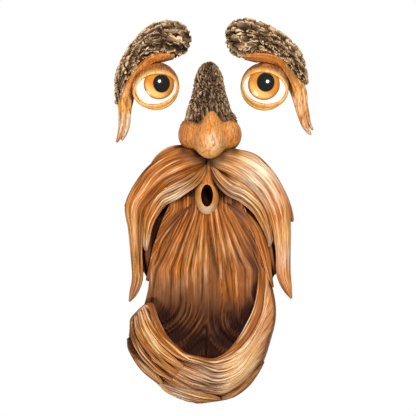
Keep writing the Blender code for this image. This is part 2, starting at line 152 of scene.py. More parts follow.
def strands(across: np.ndarray, along: np.ndarray, seed: float, bundle: float = 5.2) -> np.ndarray:
    """Carved hair from 0 in its grooves to 1 on its ridges.

    Noise that is much longer along the hair than across is folded about its middle, which
    leaves a sharp groove wherever it crosses it. Wide noise parts bundles and narrow noise
    parts strands; both sway along the hair.

    Args:
        across: Distance across the hair in mm.
        along: Distance along the hair in mm.
        seed: Makes this lock differ from the others.
        bundle: Width of a bundle in mm.

    Returns:
        The relief at every point.
    """
    sway = 6.0 * (drift(across / 19.0, along / 55.0, seed) - 0.5)
    q = across + sway + 2.0 * (drift(across / 7.0, along / 24.0, seed + 3.0) - 0.5)
    thick = np.abs(2.0 * drift(q / (0.62 * bundle), along / 90.0, seed + 5.0) - 1.0) ** 0.5
    thin = np.abs(2.0 * drift(q / 1.45, along / 40.0, seed + 7.0) - 1.0) ** 0.6
    line = drift(q / 0.8, along / 14.0, seed + 9.0)
    return np.clip(0.50 * thick + 0.37 * thin + 0.13 * line, 0.0, 1.0)


def flakes(x: np.ndarray, y: np.ndarray, seed: float, size: float = 6.0) -> np.ndarray:
    """Bark from 0 in its cracks to 1 on the lifted edges of its flakes.

    The plane is warped, then split into cells round scattered points. Each cell is a flake at
    its own level that tilts its own way, so that one side of it stands over its neighbours.

    Args:
        x: Distance across in mm.
        y: Distance along in mm.
        seed: Makes this bark differ.
        size: Width of a flake in mm.

    Returns:
        The relief at every point.
    """
    u = x / size + 0.8 * (drift(x / 4.1, y / 4.1, seed) - 0.5)
    v = y / (size * 1.1) + 0.8 * (drift(x / 4.4 + 7.0, y / 4.0, seed + 1.0) - 0.5)
    i, j = np.floor(u), np.floor(v)
    near = np.full(u.shape, 9.0)
    second = np.full(u.shape, 9.0)
    plate = np.zeros(u.shape)
    tilt = np.zeros(u.shape)
    for di in (-1, 0, 1):
        for dj in (-1, 0, 1):
            a, b = i + di, j + dj
            du = u - a - scatter(a, b, seed)
            dv = v - b - scatter(a, b, seed + 2.0)
            turn = 2.0 * math.pi * scatter(a, b, seed + 8.0)
            level = 0.22 + 0.22 * scatter(a, b, seed + 4.0)
            rise = du * np.cos(turn) + dv * np.sin(turn)
            gap = np.hypot(du, dv)
            second = np.minimum(second, np.maximum(near, gap))
            plate = np.where(gap < near, level + 0.5 * rise, plate)
            tilt = np.where(gap < near, rise, tilt)
            near = np.minimum(near, gap)
    crack = step(0.0, 0.10, second - near)
    rim = np.exp(-(((second - near) - 0.13) / 0.07) ** 2) * step(-0.15, 0.20, tilt)
    grain = 1.0 - np.abs(2.0 * drift(x / 1.2, y / 1.7, seed + 6.0) - 1.0)
    chips = np.abs(2.0 * drift(x / 2.3 + u, y / 2.9 - v, seed + 11.0) - 1.0) ** 0.7
    level = 0.85 * plate + 0.20 * chips + 0.18 * grain + 0.62 * rim
    return np.clip(crack * level, 0.0, 1.0)


def through(rows: np.ndarray, span: np.ndarray, t: np.ndarray) -> np.ndarray:
    """The smooth curve through rows of numbers, at share t of the span after each given row."""
    padded = np.concatenate([2.0 * rows[:1] - rows[1:2], rows, 2.0 * rows[-1:] - rows[-2:-1]])
    before, start, end, after = (padded[span + k] for k in range(4))
    square = 2.0 * before - 5.0 * start + 4.0 * end - after
    cube = 3.0 * start - before - 3.0 * end + after
    return 0.5 * (2.0 * start + (end - before) * t + square * t**2 + cube * t**3)


def catmull(rows: np.ndarray, count: int, measure: int) -> np.ndarray:
    """A smooth curve through rows of numbers, at even steps of the chord length.

    Args:
        rows: One station to a row.
        count: How many rows come back.
        measure: How many first columns count as a place when lengths are measured.

    Returns:
        The curve's rows.
    """
    rows = np.asarray(rows, dtype=float)
    chords = np.linalg.norm(np.diff(rows[:, :measure], axis=0), axis=1)
    knots = np.concatenate([[0.0], np.cumsum(chords)])
    where = np.linspace(0.0, knots[-1], count)
    span = np.clip(np.searchsorted(knots, where, side="right") - 1, 0, len(rows) - 2)
    return through(rows, span, ((where - knots[span]) / chords[span])[:, None])


def way(points: np.ndarray) -> np.ndarray:
    """The length along rows of points, from 0 at the first row."""
    steps = np.linalg.norm(np.diff(points, axis=0), axis=-1)
    return np.concatenate([np.zeros_like(steps[:1]), np.cumsum(steps, axis=0)])


def unit(vectors: np.ndarray) -> np.ndarray:
    """Each vector at length one."""
    return vectors / np.maximum(np.linalg.norm(vectors, axis=-1, keepdims=True), 1e-9)


def sphere(rings: int, columns: int, margin: float) -> np.ndarray:
    """Directions all round, in rings that start and end a margin from the poles."""
    tilt = np.linspace(margin, math.pi - margin, rings)[:, None]
    turn = np.linspace(0.0, 2.0 * math.pi, columns, endpoint=False)[None, :]
    return np.stack([np.sin(tilt) * np.cos(turn), np.sin(tilt) * np.sin(turn),
                     np.cos(tilt) + 0.0 * turn], axis=-1)


def widened(field: np.ndarray, extra: int) -> np.ndarray:
    """A grid with its last column repeated so many times more."""
    return np.concatenate([field, np.repeat(field[:, -1:], extra, axis=1)], axis=1)


# Paint


def blend_tones(tones: list[np.ndarray], share: np.ndarray) -> np.ndarray:
    """Colours from a list of tones, blended along a share from 0 to 1."""
    stops = np.linspace(0.0, 1.0, len(tones))
    table = np.array(tones)
    return np.stack([np.interp(share, stops, table[:, k]) for k in range(3)], axis=-1)


def dab(paint: np.ndarray, tone: np.ndarray, share: np.ndarray) -> np.ndarray:
    """Paint with a tone laid over it by a share from 0 to 1."""
    share = share[..., None]
    return paint * (1.0 - share) + tone * share


def patch(points: np.ndarray, place: tuple[float, float], size: float) -> np.ndarray:
    """A soft round patch of the front view, 1 at its place."""
    x, z = points[..., 0], points[..., 2]
    return np.exp(-((x - place[0]) ** 2 + (z - place[1]) ** 2) / size**2)


def dabs(paint: np.ndarray, points: np.ndarray, spots: tuple, strength: float) -> np.ndarray:
    """Paint with soft round patches of (tone, place, size) laid over it in turn."""
    for tone, place, size in spots:
        paint = dab(paint, tone(), patch(points, place, size) * strength)
    return paint


# Meshes and objects


def added(name: str, data: bpy.types.ID) -> bpy.types.Object:
    """A new object in the scene."""
    item = bpy.data.objects.new(name, data)
    bpy.context.scene.collection.objects.link(item)
    return item


def mesh_points(mesh: bpy.types.Mesh) -> np.ndarray:
    """The mesh's points in metres."""
    place = np.empty(len(mesh.vertices) * 3, dtype=np.float32)
    mesh.vertices.foreach_get("co", place)
    return place.reshape(-1, 3).astype(float)


def paint_corners(mesh: bpy.types.Mesh, title: str, values: np.ndarray,
                  where: np.ndarray) -> None:
    """Adds a corner paint from the colour of each point and the point of each corner."""
    values = np.concatenate([values, np.ones((len(values), 1))], axis=1)
    layer = mesh.color_attributes.new(title, "FLOAT_COLOR", "CORNER")
    layer.data.foreach_set("color", values[where].astype(np.float32).ravel())


# Closed forms


@dataclass
class Form:
    """A closed form on a grid of rings, with its paint.

    Rings run along the first axis and close on themselves along the second. Both end rings are
    closed by a fan to their middle.
    """

    points: np.ndarray
    tint: np.ndarray
    ridge: np.ndarray
    across: np.ndarray
    along: np.ndarray
    finish: Finish
    # How dark the form's own painted shade is, as in the mouth's hollow and the backing plate
    painted_shade: float = 0.0
    grain: float = 1.0

    @classmethod
    def plain(cls, points: np.ndarray, tint: np.ndarray, finish: Finish, ridge: float = 0.8,
              painted_shade: float = 0.0, grain: float = 1.0) -> "Form":
        """A form without carving, whose coordinates are those of the front view."""
        return cls(points, np.broadcast_to(tint, points.shape), np.full(points.shape[:2], ridge),
                   points[..., 0], points[..., 2], finish, painted_shade, grain)

    @classmethod
    def backed(cls, face: np.ndarray, fields: tuple, pitch: int) -> "Form":
        """A form of hair from the grid of its front, closed by a flat back.

        Args:
            face: Points of the front.
            fields: Its tint, ridge and coordinates across and along.
            pitch: How many columns of the front lie between two of the back.

        Returns:
            The closed form.
        """
        back = face[:, ::-1][:, ::pitch].copy()
        back[..., 1] = -OVERCUT
        points = np.concatenate([face, back], axis=1)
        return cls(points, *(widened(field, back.shape[1]) for field in fields), Finish.HAIR)

    def rows(self, field: np.ndarray) -> np.ndarray:
        """A field's rows for every point and for the middles of both end rings."""
        flat = field.reshape(-1, field.shape[-1])
        return np.concatenate([flat, flat[:1], flat[-1:]])

    def mesh_object(self, name: str) -> bpy.types.Object:
        """Builds the mesh with its corner paint.

        Args:
            name: Name of the object.

        Returns:
            The new object, in metres, facing outwards.
        """
        rings, count = self.points.shape[:2]
        ends = np.stack([self.points[0].mean(axis=0), self.points[-1].mean(axis=0)])
        points = np.concatenate([self.points.reshape(-1, 3), ends]) * (MM, -MM, MM)
        index = np.arange(rings * count).reshape(rings, count)
        after = np.roll(index, -1, axis=1)
        quads = np.stack([index[:-1], after[:-1], after[1:], index[1:]], axis=-1).reshape(-1, 4)
        first = np.full(count, rings * count)
        fans = np.concatenate([
            np.stack([index[0], first, after[0]], axis=1),
            np.stack([index[-1], after[-1], first + 1], axis=1),
        ])
        corners = points[quads]
        halves = ((0, 1, 2), (0, 2, 3))
        volume = sum(np.einsum("ij,ij->i", corners[:, a], np.cross(corners[:, b], corners[:, c]))
                     .sum() for a, b, c in halves)
        if volume < 0.0:
            quads, fans = quads[:, ::-1], fans[:, ::-1]
        mesh = bpy.data.meshes.new(name)
        mesh.from_pydata(points.tolist(), [], quads.tolist() + fans.tolist())
        where = np.concatenate([quads.ravel(), fans.ravel()])
        shade = [self.ridge, np.full(self.ridge.shape, self.painted_shade),
                 np.full(self.ridge.shape, self.grain)]
        for title, field in (("Tint", self.tint), ("Relief", np.stack(shade, axis=-1))):
            paint_corners(mesh, title, self.rows(field), where)
        flow = self.rows(np.stack([self.across, self.along], axis=-1) * MM)
        mesh.uv_layers.new(name="UVMap").data.foreach_set(
            "uv", flow[where].astype(np.float32).ravel())
        for finish in Finish:
            mesh.materials.append(Paintbox.of(finish))
        mesh.polygons.foreach_set(
            "material_index", np.full(len(mesh.polygons), self.finish.value, dtype=np.int32))
        return added(name, mesh)


@dataclass
class Lock:
    """A lock of hair, a strip of bark or wood, swept along its stations.

    Each station is x, z, depth, width and height in mm: the middle line runs at that depth and
    the crest rises by the height. Its section is half an ellipse. A lock reaches back to the
    tree, or below its middle line by sink times its height. A lock with an axis point (x, z)
    faces away from that point.
    """

    stations: tuple
    tones: tuple
    seed: float
    finish: Finish = Finish.HAIR
    carve: float = 2.0
    bundle: float = 5.2
    sink: float | None = None
    axis: tuple[float, float] | None = None
    fine: float = 0.62
    pace: float = 2.6
    skirt: int = 4
    flake: float = 6.4
    calm: float = 1.0
    lift: float = 0.0
    flatness: float = 0.94
    slender: tuple[float, float] = (11.0, 6.0)

    def form(self, centre: tuple[float, float] = (0.0, 0.0)) -> Form:
        """Works out the lock's surface.

        The section at share s across is raised by the root of 1 - flatness s squared and carved
        inwards along its own normal by the relief of hair or bark. The carving fades where the
        lock is narrower or lower than its slender width and height.

        Args:
            centre: Added to every station's place.

        Returns:
            The closed form.
        """
        rows = np.asarray(self.stations, dtype=float)
        length = np.linalg.norm(np.diff(rows[:, :3], axis=0), axis=1).sum()
        rows = catmull(rows, max(8, int(length / self.pace)), 3)
        spine = np.stack([rows[:, 0] + centre[0], rows[:, 2], rows[:, 1] + centre[1]], axis=1)
        width, height = np.maximum(rows[:, 3], 0.6), np.maximum(rows[:, 4], 0.6)
        along = unit(np.gradient(spine, axis=0))
        outward = np.tile((0.0, 1.0, 0.0), (len(spine), 1))
        if self.axis is not None:
            middle = np.array((self.axis[0] + centre[0], 0.0, self.axis[1] + centre[1]))
            outward = unit(spine - middle)
        across = unit(np.cross(along, outward))
        raised = unit(np.cross(across, along))
        half_arc = 0.55 * (width.max() / 2.0 + height.max()) + 0.25 * width.max()
        columns = max(9, int(2.0 * half_arc / self.fine))
        turn = np.linspace(-math.pi / 2, math.pi / 2, columns)
        share, up = np.sin(turn), np.sqrt(1.0 - self.flatness * np.sin(turn) ** 2)
        distance = way(spine)
        q = np.repeat((turn / (math.pi / 2) * half_arc)[None, :], len(spine), axis=0)
        t = np.broadcast_to(distance[:, None], q.shape)
        ridge = self.relief(q, t)
        fade = (np.minimum(1.0, width / self.slender[0])
                * np.minimum(1.0, height / self.slender[1]))
        edge = 1.0 if self.finish is Finish.BARK else 0.6
        depth = self.carve * fade[:, None] * (1.0 - ridge) * np.where(up < 0.5, edge, 1.0)[None, :]
        flat = spine[:, None] + across[:, None] * (width[:, None] * 0.5 * share)[..., None]
        points = flat + raised[:, None] * (height[:, None] * up)[..., None]
        normal = unit(across[:, None] * share[None, :, None] * height[:, None, None]
                      + raised[:, None] * up[None, :, None] * width[:, None, None] * 0.5)
        points = points + normal * (self.lift - depth)[..., None]
        tint = blend_tones([tone() for tone in self.tones], distance / distance[-1])
        if self.sink is None:
            under = []
            for side, column, order in ((0.97, -1, 1), (-0.97, 0, -1)):
                foot = spine + across * (width * 0.5 * side)[:, None]
                foot[:, 1] = -OVERCUT
                rim = points[:, column]
                parts = np.linspace(0.0, 1.0, self.skirt + 1)[1:][::order]
                under.append(rim[:, None] + (foot - rim)[:, None] * parts[None, :, None])
            under = np.concatenate(under, axis=1)
        else:
            under = np.stack([spine + across * (width * 0.5 * side)[:, None]
                              - raised * (height * self.sink)[:, None] for side in (0.6, -0.6)],
                             axis=1)
        extra = under.shape[1]
        ridge = np.concatenate([ridge, np.full((len(ridge), extra), 0.55)], axis=1)
        q = np.concatenate([q, q[:, -1:] + np.arange(1, extra + 1) * 5.0], axis=1)
        return Form(np.concatenate([points, under], axis=1), widened(tint[:, None], q.shape[1] - 1),
                    ridge, q + 100.0 * self.seed, widened(t, extra), self.finish)

    def relief(self, across: np.ndarray, along: np.ndarray) -> np.ndarray:
        """Hair or bark over the lock, from 0 to 1."""
        if self.finish is Finish.BARK:
            return flakes(across, along, self.seed, self.flake)
        if self.finish is Finish.SKIN:
            return 0.35 + 0.65 * strands(across, along, self.seed, self.bundle)
        return 1.0 - self.calm * (1.0 - strands(across, along, self.seed, self.bundle))


def ball_form(centre: tuple[float, float, float], radii: tuple[float, float, float],
              tone: Tone, finish: Finish, painted_shade: float = 0.0, rounds: int = 40) -> Form:
    """An ellipsoid with its middle and half sizes as (x, depth, z), in rings from back to front."""
    ball = sphere(rounds, 2 * rounds, 0.03)[..., [0, 2, 1]] * (1.0, -1.0, 1.0)
    return Form.plain(ball * radii + centre, tone(), finish, painted_shade=painted_shade)


def prism_form(ring: np.ndarray, back: float, front: float) -> Form:
    """A prism along the depth axis over a ring of (x, z), in plain resin, to cut with."""
    points = np.stack([np.insert(ring, 1, depth, axis=1) for depth in (back, front)])
    return Form.plain(points, Tone.PLAIN(), Finish.BACK, 0.6)


def block_form(low: tuple[float, float, float], high: tuple[float, float, float]) -> Form:
    """A box between two corners (x, depth, z), to cut with."""
    ring = np.array([(low[0], low[2]), (high[0], low[2]), (high[0], high[2]), (low[0], high[2])])
    return prism_form(ring, low[1], high[1])


def rod_form(place: tuple[float, float], radius: float, back: float, front: float) -> Form:
    """A round rod along the depth axis at (x, z), to cut with."""
    turn = np.linspace(0.0, 2.0 * math.pi, 32, endpoint=False)
    ring = np.stack([place[0] + radius * np.cos(turn), place[1] + radius * np.sin(turn)], axis=1)
    return prism_form(ring, back, front)


# Finishes


class Shade:
    """One output socket of a material's nodes, with arithmetic that adds Math nodes."""

    def __init__(self, book: "NodeBook", socket: bpy.types.NodeSocket) -> None:
        """Wraps a socket of a node book."""
        self.book = book
        self.socket = socket

    def _math(self, operation: str, other: "Shade | float", swapped: bool = False) -> "Shade":
        """One Math node of this and other, or of other and this where they are swapped."""
        pair = (other, self) if swapped else (self, other)
        return self.book.add("ShaderNodeMath", {"operation": operation}, dict(enumerate(pair)))

    __add__ = __radd__ = partialmethod(_math, "ADD")
    __sub__ = partialmethod(_math, "SUBTRACT")
    __rsub__ = partialmethod(_math, "SUBTRACT", swapped=True)
    __mul__ = __rmul__ = partialmethod(_math, "MULTIPLY")
    __pow__ = partialmethod(_math, "POWER")

    def rise(self, low: float, high: float) -> "Shade":
        """A smooth rise from 0 at low to 1 at high."""
        return self.book.add(
            "ShaderNodeMapRange", {"interpolation_type": "SMOOTHSTEP"},
            {"Value": self, "From Min": low, "From Max": high, "To Min": 0.0, "To Max": 1.0})


class NodeBook:
    """The nodes of one material, ending in a Principled shader."""

    def __init__(self, name: str) -> None:
        """Makes the material and its shader."""
        self.material = bpy.data.materials.new(name)
        self.material.use_nodes = True
        self.tree = self.material.node_tree
        self.tree.nodes.clear()
        self.shader = self.tree.nodes.new("ShaderNodeBsdfPrincipled")
        output = self.tree.nodes.new("ShaderNodeOutputMaterial")
        self.tree.links.new(self.shader.outputs[0], output.inputs[0])

    def add(self, kind: str, settings: dict, sockets: dict, output: int | str = 0) -> Shade:
        """Adds one node.

        Args:
            kind: The node's type.
            settings: Its properties, and under "stops" the (place, colour) rows of a ramp.
            sockets: Values or shades for its inputs, by name or number.
            output: Which output comes back.

        Returns:
            The output as a shade.
        """
        node = self.tree.nodes.new(kind)
        for key, value in settings.items():
            if key == "stops":
                ramp = node.color_ramp.elements
                while len(ramp) < len(value):
                    ramp.new(0.5)
                for element, (place, colour) in zip(ramp, value):
                    element.position = place
                    element.color = (*colour, 1.0)
            else:
                setattr(node, key, value)
        for key, value in sockets.items():
            self.feed(node.inputs[key], value)
        return Shade(self, node.outputs[output])

    def feed(self, socket: bpy.types.NodeSocket, value: "Shade | float | tuple") -> None:
        """Links a shade to a socket, or sets a plain value on it."""
        if isinstance(value, Shade):
            self.tree.links.new(value.socket, socket)
        elif isinstance(value, tuple) and len(value) == 3 and socket.type == "RGBA":
            socket.default_value = (*value, 1.0)
        else:
            socket.default_value = value

    def mix(self, first: "Shade | tuple", second: "Shade | tuple", factor: "Shade | float",
            blend: str = "MIX") -> Shade:
        """A colour from first to second by factor."""
        return self.add("ShaderNodeMix", {"data_type": "RGBA", "blend_type": blend},
                        {0: factor, 6: first, 7: second}, 2)

    def layers(self, colour: "Shade | tuple", *coats: tuple) -> Shade:
        """A colour with coats of (colour, factor) laid over it in turn."""
        for coat, factor in coats:
            colour = self.mix(colour, coat, factor)
        return colour

    def painted(self, name: str) -> Shade:
        """A corner paint of the mesh as a colour."""
        return self.add("ShaderNodeVertexColor", {"layer_name": name}, {}, "Color")

    def channel(self, name: str, output: str) -> Shade:
        """One channel of a corner paint."""
        return self.add("ShaderNodeSeparateColor", {}, {"Color": self.painted(name)}, output)

    def scaled(self, where: Shade, steps: tuple[float, float, float]) -> Shade:
        """Coordinates in steps of so many mm."""
        return self.add("ShaderNodeVectorMath", {"operation": "MULTIPLY"},
                        {0: where, 1: tuple(1000.0 / size for size in steps)})

    def flow(self, across: float, along: float) -> Shade:
        """The hair's own coordinates in steps of so many mm across and along it."""
        where = self.add("ShaderNodeUVMap", {"uv_map": "UVMap"}, {})
        return self.scaled(where, (across, along, 1000.0))

    def place(self, x: float, y: float, z: float) -> Shade:
        """The object's coordinates in steps of so many mm."""
        return self.scaled(self.add("ShaderNodeTexCoord", {}, {}, "Object"), (x, y, z))

    def axis(self, name: str) -> Shade:
        """One of the object's coordinates in mm."""
        where = self.add("ShaderNodeTexCoord", {}, {}, "Object")
        return self.add("ShaderNodeSeparateXYZ", {}, {0: where}, name) * 1000.0

    def noise(self, vector: Shade, detail: float = 2.0, rough: float = 0.5) -> Shade:
        """Noise of one step's size over a vector."""
        return self.add("ShaderNodeTexNoise", {},
                        {"Vector": vector, "Scale": 1.0, "Detail": detail, "Roughness": rough})

    def bump(self, height: Shade, distance: float, strength: float) -> Shade:
        """A normal from a height of so many mm."""
        return self.add("ShaderNodeBump", {},
                        {"Strength": strength, "Distance": distance * MM, "Height": height})

    def finish(self, sockets: dict) -> bpy.types.Material:
        """Feeds the shader and returns the material."""
        for key, value in sockets.items():
            self.feed(self.shader.inputs[key], value)
        return self.material


@dataclass(frozen=True)
class StainedHair:
    """Hair stained brown, washed dark in the grooves, with pale brush marks on the ridges.

    Painted shade darkens its creases and hollows, and painted highlights join the brush
    marks where it stands proud.
    """

    name: str = "stained_hair"
    groove: tuple = linear(118, 58, 14)
    line: tuple = linear(54, 21, 4)
    crease: tuple = linear(46, 16, 3)
    pale: tuple = linear(255, 236, 206)
    groove_depth: float = 0.90
    pale_strength: float = 0.85
    roughness: float = 0.38

    def material(self) -> bpy.types.Material:
        """Builds the nodes.

        Returns:
            The material.
        """
        book = NodeBook(self.name)
        ridge = book.channel("Relief", "Red")
        # Painted shade, with some dark paint, in the creases between forms
        crease = book.channel("Wash", "Red")
        streak = book.noise(book.flow(1.2, 26.0), 3.0, 0.66)
        broad = book.noise(book.flow(6.0, 46.0), 2.0)
        blot = book.noise(book.place(24.0, 24.0, 24.0), 2.0)
        lit = book.channel("Tint", "Red").rise(0.05, 0.50)
        low = (1.0 - ridge).rise(0.22, 0.58)
        # Pale brush marks and painted highlights on the ridges, strongest where the hair stands
        # proud
        proud = 0.30 + 0.70 * book.channel("Wash", "Green")
        light = ridge.rise(0.52, 0.84) * proud * (1.0 - streak).rise(0.48, 0.58)
        colour = book.layers(
            book.painted("Tint"),
            (Tone.GREYED.value, blot.rise(0.52, 0.72) * 0.35 * lit),
            (Tone.AMBER.value, broad.rise(0.52, 0.66) * 0.50 * lit),
            (self.groove, low * (0.60 + 0.40 * streak) * self.groove_depth * lit),
            (self.groove, streak.rise(0.52, 0.62) * 0.66 * lit),
            (self.line, (1.0 - ridge).rise(0.48, 0.80) * 0.85),
            (self.pale, light * lit * self.pale_strength),
            # Painted shade in the creases, then the form's own painted shade
            (self.groove, crease.rise(0.0, 0.60) * 0.60 * lit),
            (self.crease, crease.rise(0.14, 0.80) * (0.50 + 0.50 * low) * 0.97),
            (self.crease, book.channel("Relief", "Green")))
        return book.finish({
            "Base Color": colour, "Roughness": self.roughness + 0.14 * streak + 0.30 * crease,
            "Specular IOR Level": 0.18, "Normal": book.bump(streak * 0.6 + ridge * 0.2, 0.9, 0.8)})


@dataclass(frozen=True)
class PaintedBark:
    """Dark grey-brown bark with light tan edges on its flakes and painted shade in its creases."""

    name: str = "painted_bark"
    warm: tuple = linear(128, 84, 44)
    crease: tuple = linear(24, 12, 6)
    ramp: tuple = ((0.04, linear(22, 13, 6)), (0.26, linear(58, 41, 26)),
                   (0.46, linear(104, 80, 56)), (0.64, linear(160, 128, 94)),
                   (0.84, linear(244, 216, 176)))
    roughness: float = 0.72

    def material(self) -> bpy.types.Material:
        """Builds the nodes.

        Returns:
            The material.
        """
        book = NodeBook(self.name)
        grain = book.noise(book.place(1.5, 1.5, 1.5), 3.0, 0.6)
        blot = book.noise(book.place(14.0, 14.0, 14.0), 2.0)
        level = book.channel("Relief", "Red") * 0.86 + grain * 0.34 + blot * 0.14 - 0.20
        colour = book.add("ShaderNodeValToRGB", {"stops": self.ramp}, {"Fac": level})
        colour = book.mix(colour, self.warm, blot.rise(0.5, 0.8) * 0.3)
        colour = book.mix(colour, book.painted("Tint"), 1.0, "MULTIPLY")
        # Painted shade, with some dark paint, in the creases
        colour = book.mix(colour, self.crease, book.channel("Wash", "Red").rise(0.3, 0.95) * 0.7)
        return book.finish({
            "Base Color": colour, "Roughness": self.roughness,
            "Specular IOR Level": 0.22, "Normal": book.bump(grain, 0.6, 0.6)})


@dataclass(frozen=True)
class StainedSkin:
    """Smooth stained wood of nose, lips, lids and tails, with short dark dashes along it.

    Its creases and hollows are darkened with painted shade.
    """

    name: str = "stained_skin"
    dash: tuple = linear(140, 78, 30)
    crease: tuple = linear(40, 16, 6)
    roughness: float = 0.38

    def material(self) -> bpy.types.Material:
        """Builds the nodes.

        Returns:
            The material.
        """
        book = NodeBook(self.name)
        grain = book.channel("Relief", "Blue")
        dash = book.noise(book.place(1.7, 2.4, 10.0), 3.0, 0.62)
        fleck = book.noise(book.place(1.0, 1.4, 4.0), 2.0)
        cloud = book.noise(book.place(10.0, 10.0, 14.0), 2.0)
        colour = book.layers(
            book.painted("Tint"),
            (Tone.AMBER.value, cloud.rise(0.46, 0.66) * 0.55),
            (Tone.CREAM.value, (1.0 - dash).rise(0.50, 0.66) * 0.20),
            (self.dash, dash.rise(0.52, 0.62) * 0.74 * grain),
            (self.crease, fleck.rise(0.60, 0.68) * 0.62 * grain),
            (self.dash, (1.0 - book.channel("Relief", "Red")).rise(0.1, 0.5) * 0.7),
            # Painted shade in the creases, then the form's own painted shade
            (self.crease, book.channel("Wash", "Red").rise(0.30, 0.95) * 0.80 * grain),
            (self.crease, book.channel("Relief", "Green")))
        return book.finish({
            "Base Color": colour, "Roughness": self.roughness + 0.18 * dash,
            "Specular IOR Level": 0.32, "Normal": book.bump(dash, 0.5, 0.7)})


@dataclass(frozen=True)
class GlassEye:
    """A glossy painted eyeball: black pupil, amber iris with a dark ring, ivory white."""

    name: str
    place: tuple[float, float]
    iris: float
    pupil_place: tuple[float, float]
    pupil: float
    ramp: tuple = ((0.0, linear(190, 104, 18)), (0.55, linear(210, 122, 24)),
                   (0.72, linear(200, 128, 40)), (0.88, linear(188, 114, 36)),
                   (0.94, linear(172, 98, 28)), (1.0, linear(132, 74, 22)))
    glow: tuple = linear(250, 200, 118)
    ivory: tuple = linear(255, 251, 238)
    corner: tuple = linear(244, 206, 150)
    black: tuple = linear(5, 4, 4)
    squash: float = 0.92

    def material(self) -> bpy.types.Material:
        """Builds the nodes from the distance to the iris's middle in the front view.

        Returns:
            The material.
        """
        book = NodeBook(self.name)
        side = book.axis("X") - self.place[0]
        rise = book.axis("Z") - self.place[1]
        radius = (side * side + rise * rise) ** 0.5
        off = side + (self.place[0] - self.pupil_place[0])
        tall = (rise + (self.place[1] - self.pupil_place[1])) * self.squash
        pupil = (off * off + tall * tall) ** 0.5 * (1.0 / self.pupil)
        rays = book.noise(book.place(1.3, 40.0, 1.3), 3.0, 0.6)
        cloud = book.noise(book.place(9.0, 9.0, 9.0), 1.0)
        ring = radius * (1.0 / self.iris)
        iris = book.add("ShaderNodeValToRGB", {"stops": self.ramp},
                        {"Fac": ring + rays * 0.10 - 0.05})
        # Painted light: the iris glows paler towards its lower left, away from the key lamp
        glow = book.mix(iris, self.glow, (0.0 - side * 0.6 - rise).rise(2.0, 13.0) * 0.75)
        # The white turns cream towards its edge, in clouds
        rim_share = ((radius * 0.01).rise(0.19, 0.26) + (cloud - 0.5) * 0.3).rise(0.1, 1.0)
        colour = book.layers(
            iris,
            (glow, (1.0 - ring).rise(0.06, 0.2)),
            (book.mix(self.ivory, self.corner, rim_share), ring.rise(0.97, 1.04)))
        colour = book.mix(self.black, colour, pupil.rise(0.94, 1.04))
        return book.finish({
            "Base Color": colour, "Roughness": 0.12, "Specular IOR Level": 0.3,
            "Coat Weight": 0.4, "Coat Roughness": 0.04})


@dataclass(frozen=True)
class PlainResin:
    """Unpainted brown resin of the flat backs and the keyhole sockets."""

    name: str = "plain_resin"
    dark: tuple = linear(104, 66, 38)
    light: tuple = linear(146, 102, 66)
    roughness: float = 0.62

    def material(self) -> bpy.types.Material:
        """Builds the nodes.

        Returns:
            The material.
        """
        book = NodeBook(self.name)
        cloud = book.noise(book.place(12.0, 12.0, 12.0), 4.0)
        pits = book.noise(book.place(1.2, 1.2, 1.2), 2.0)
        return book.finish({
            "Base Color": book.mix(self.dark, self.light, cloud.rise(0.3, 0.7)),
            "Roughness": self.roughness, "Normal": book.bump(pits, 0.3, 0.5)})


class Paintbox:
    """The materials of the piece that is being built, by finish."""

    materials: dict[Finish, bpy.types.Material] = {}
    shared: dict[Finish, bpy.types.Material] = {}

    @classmethod
    def fill(cls, ball: bpy.types.Material | None) -> None:
        """Takes the shared materials, made once, and the eyeball's own."""
        if not cls.shared:
            cls.shared = {
                Finish.HAIR: StainedHair().material(), Finish.BARK: PaintedBark().material(),
                Finish.SKIN: StainedSkin().material(), Finish.BACK: PlainResin().material()}
        cls.materials = dict(cls.shared)
        cls.materials[Finish.BALL] = ball or cls.shared[Finish.SKIN]

    @classmethod
    def of(cls, finish: Finish) -> bpy.types.Material:
        """The material of a finish."""
        return cls.materials[finish]


# Castings


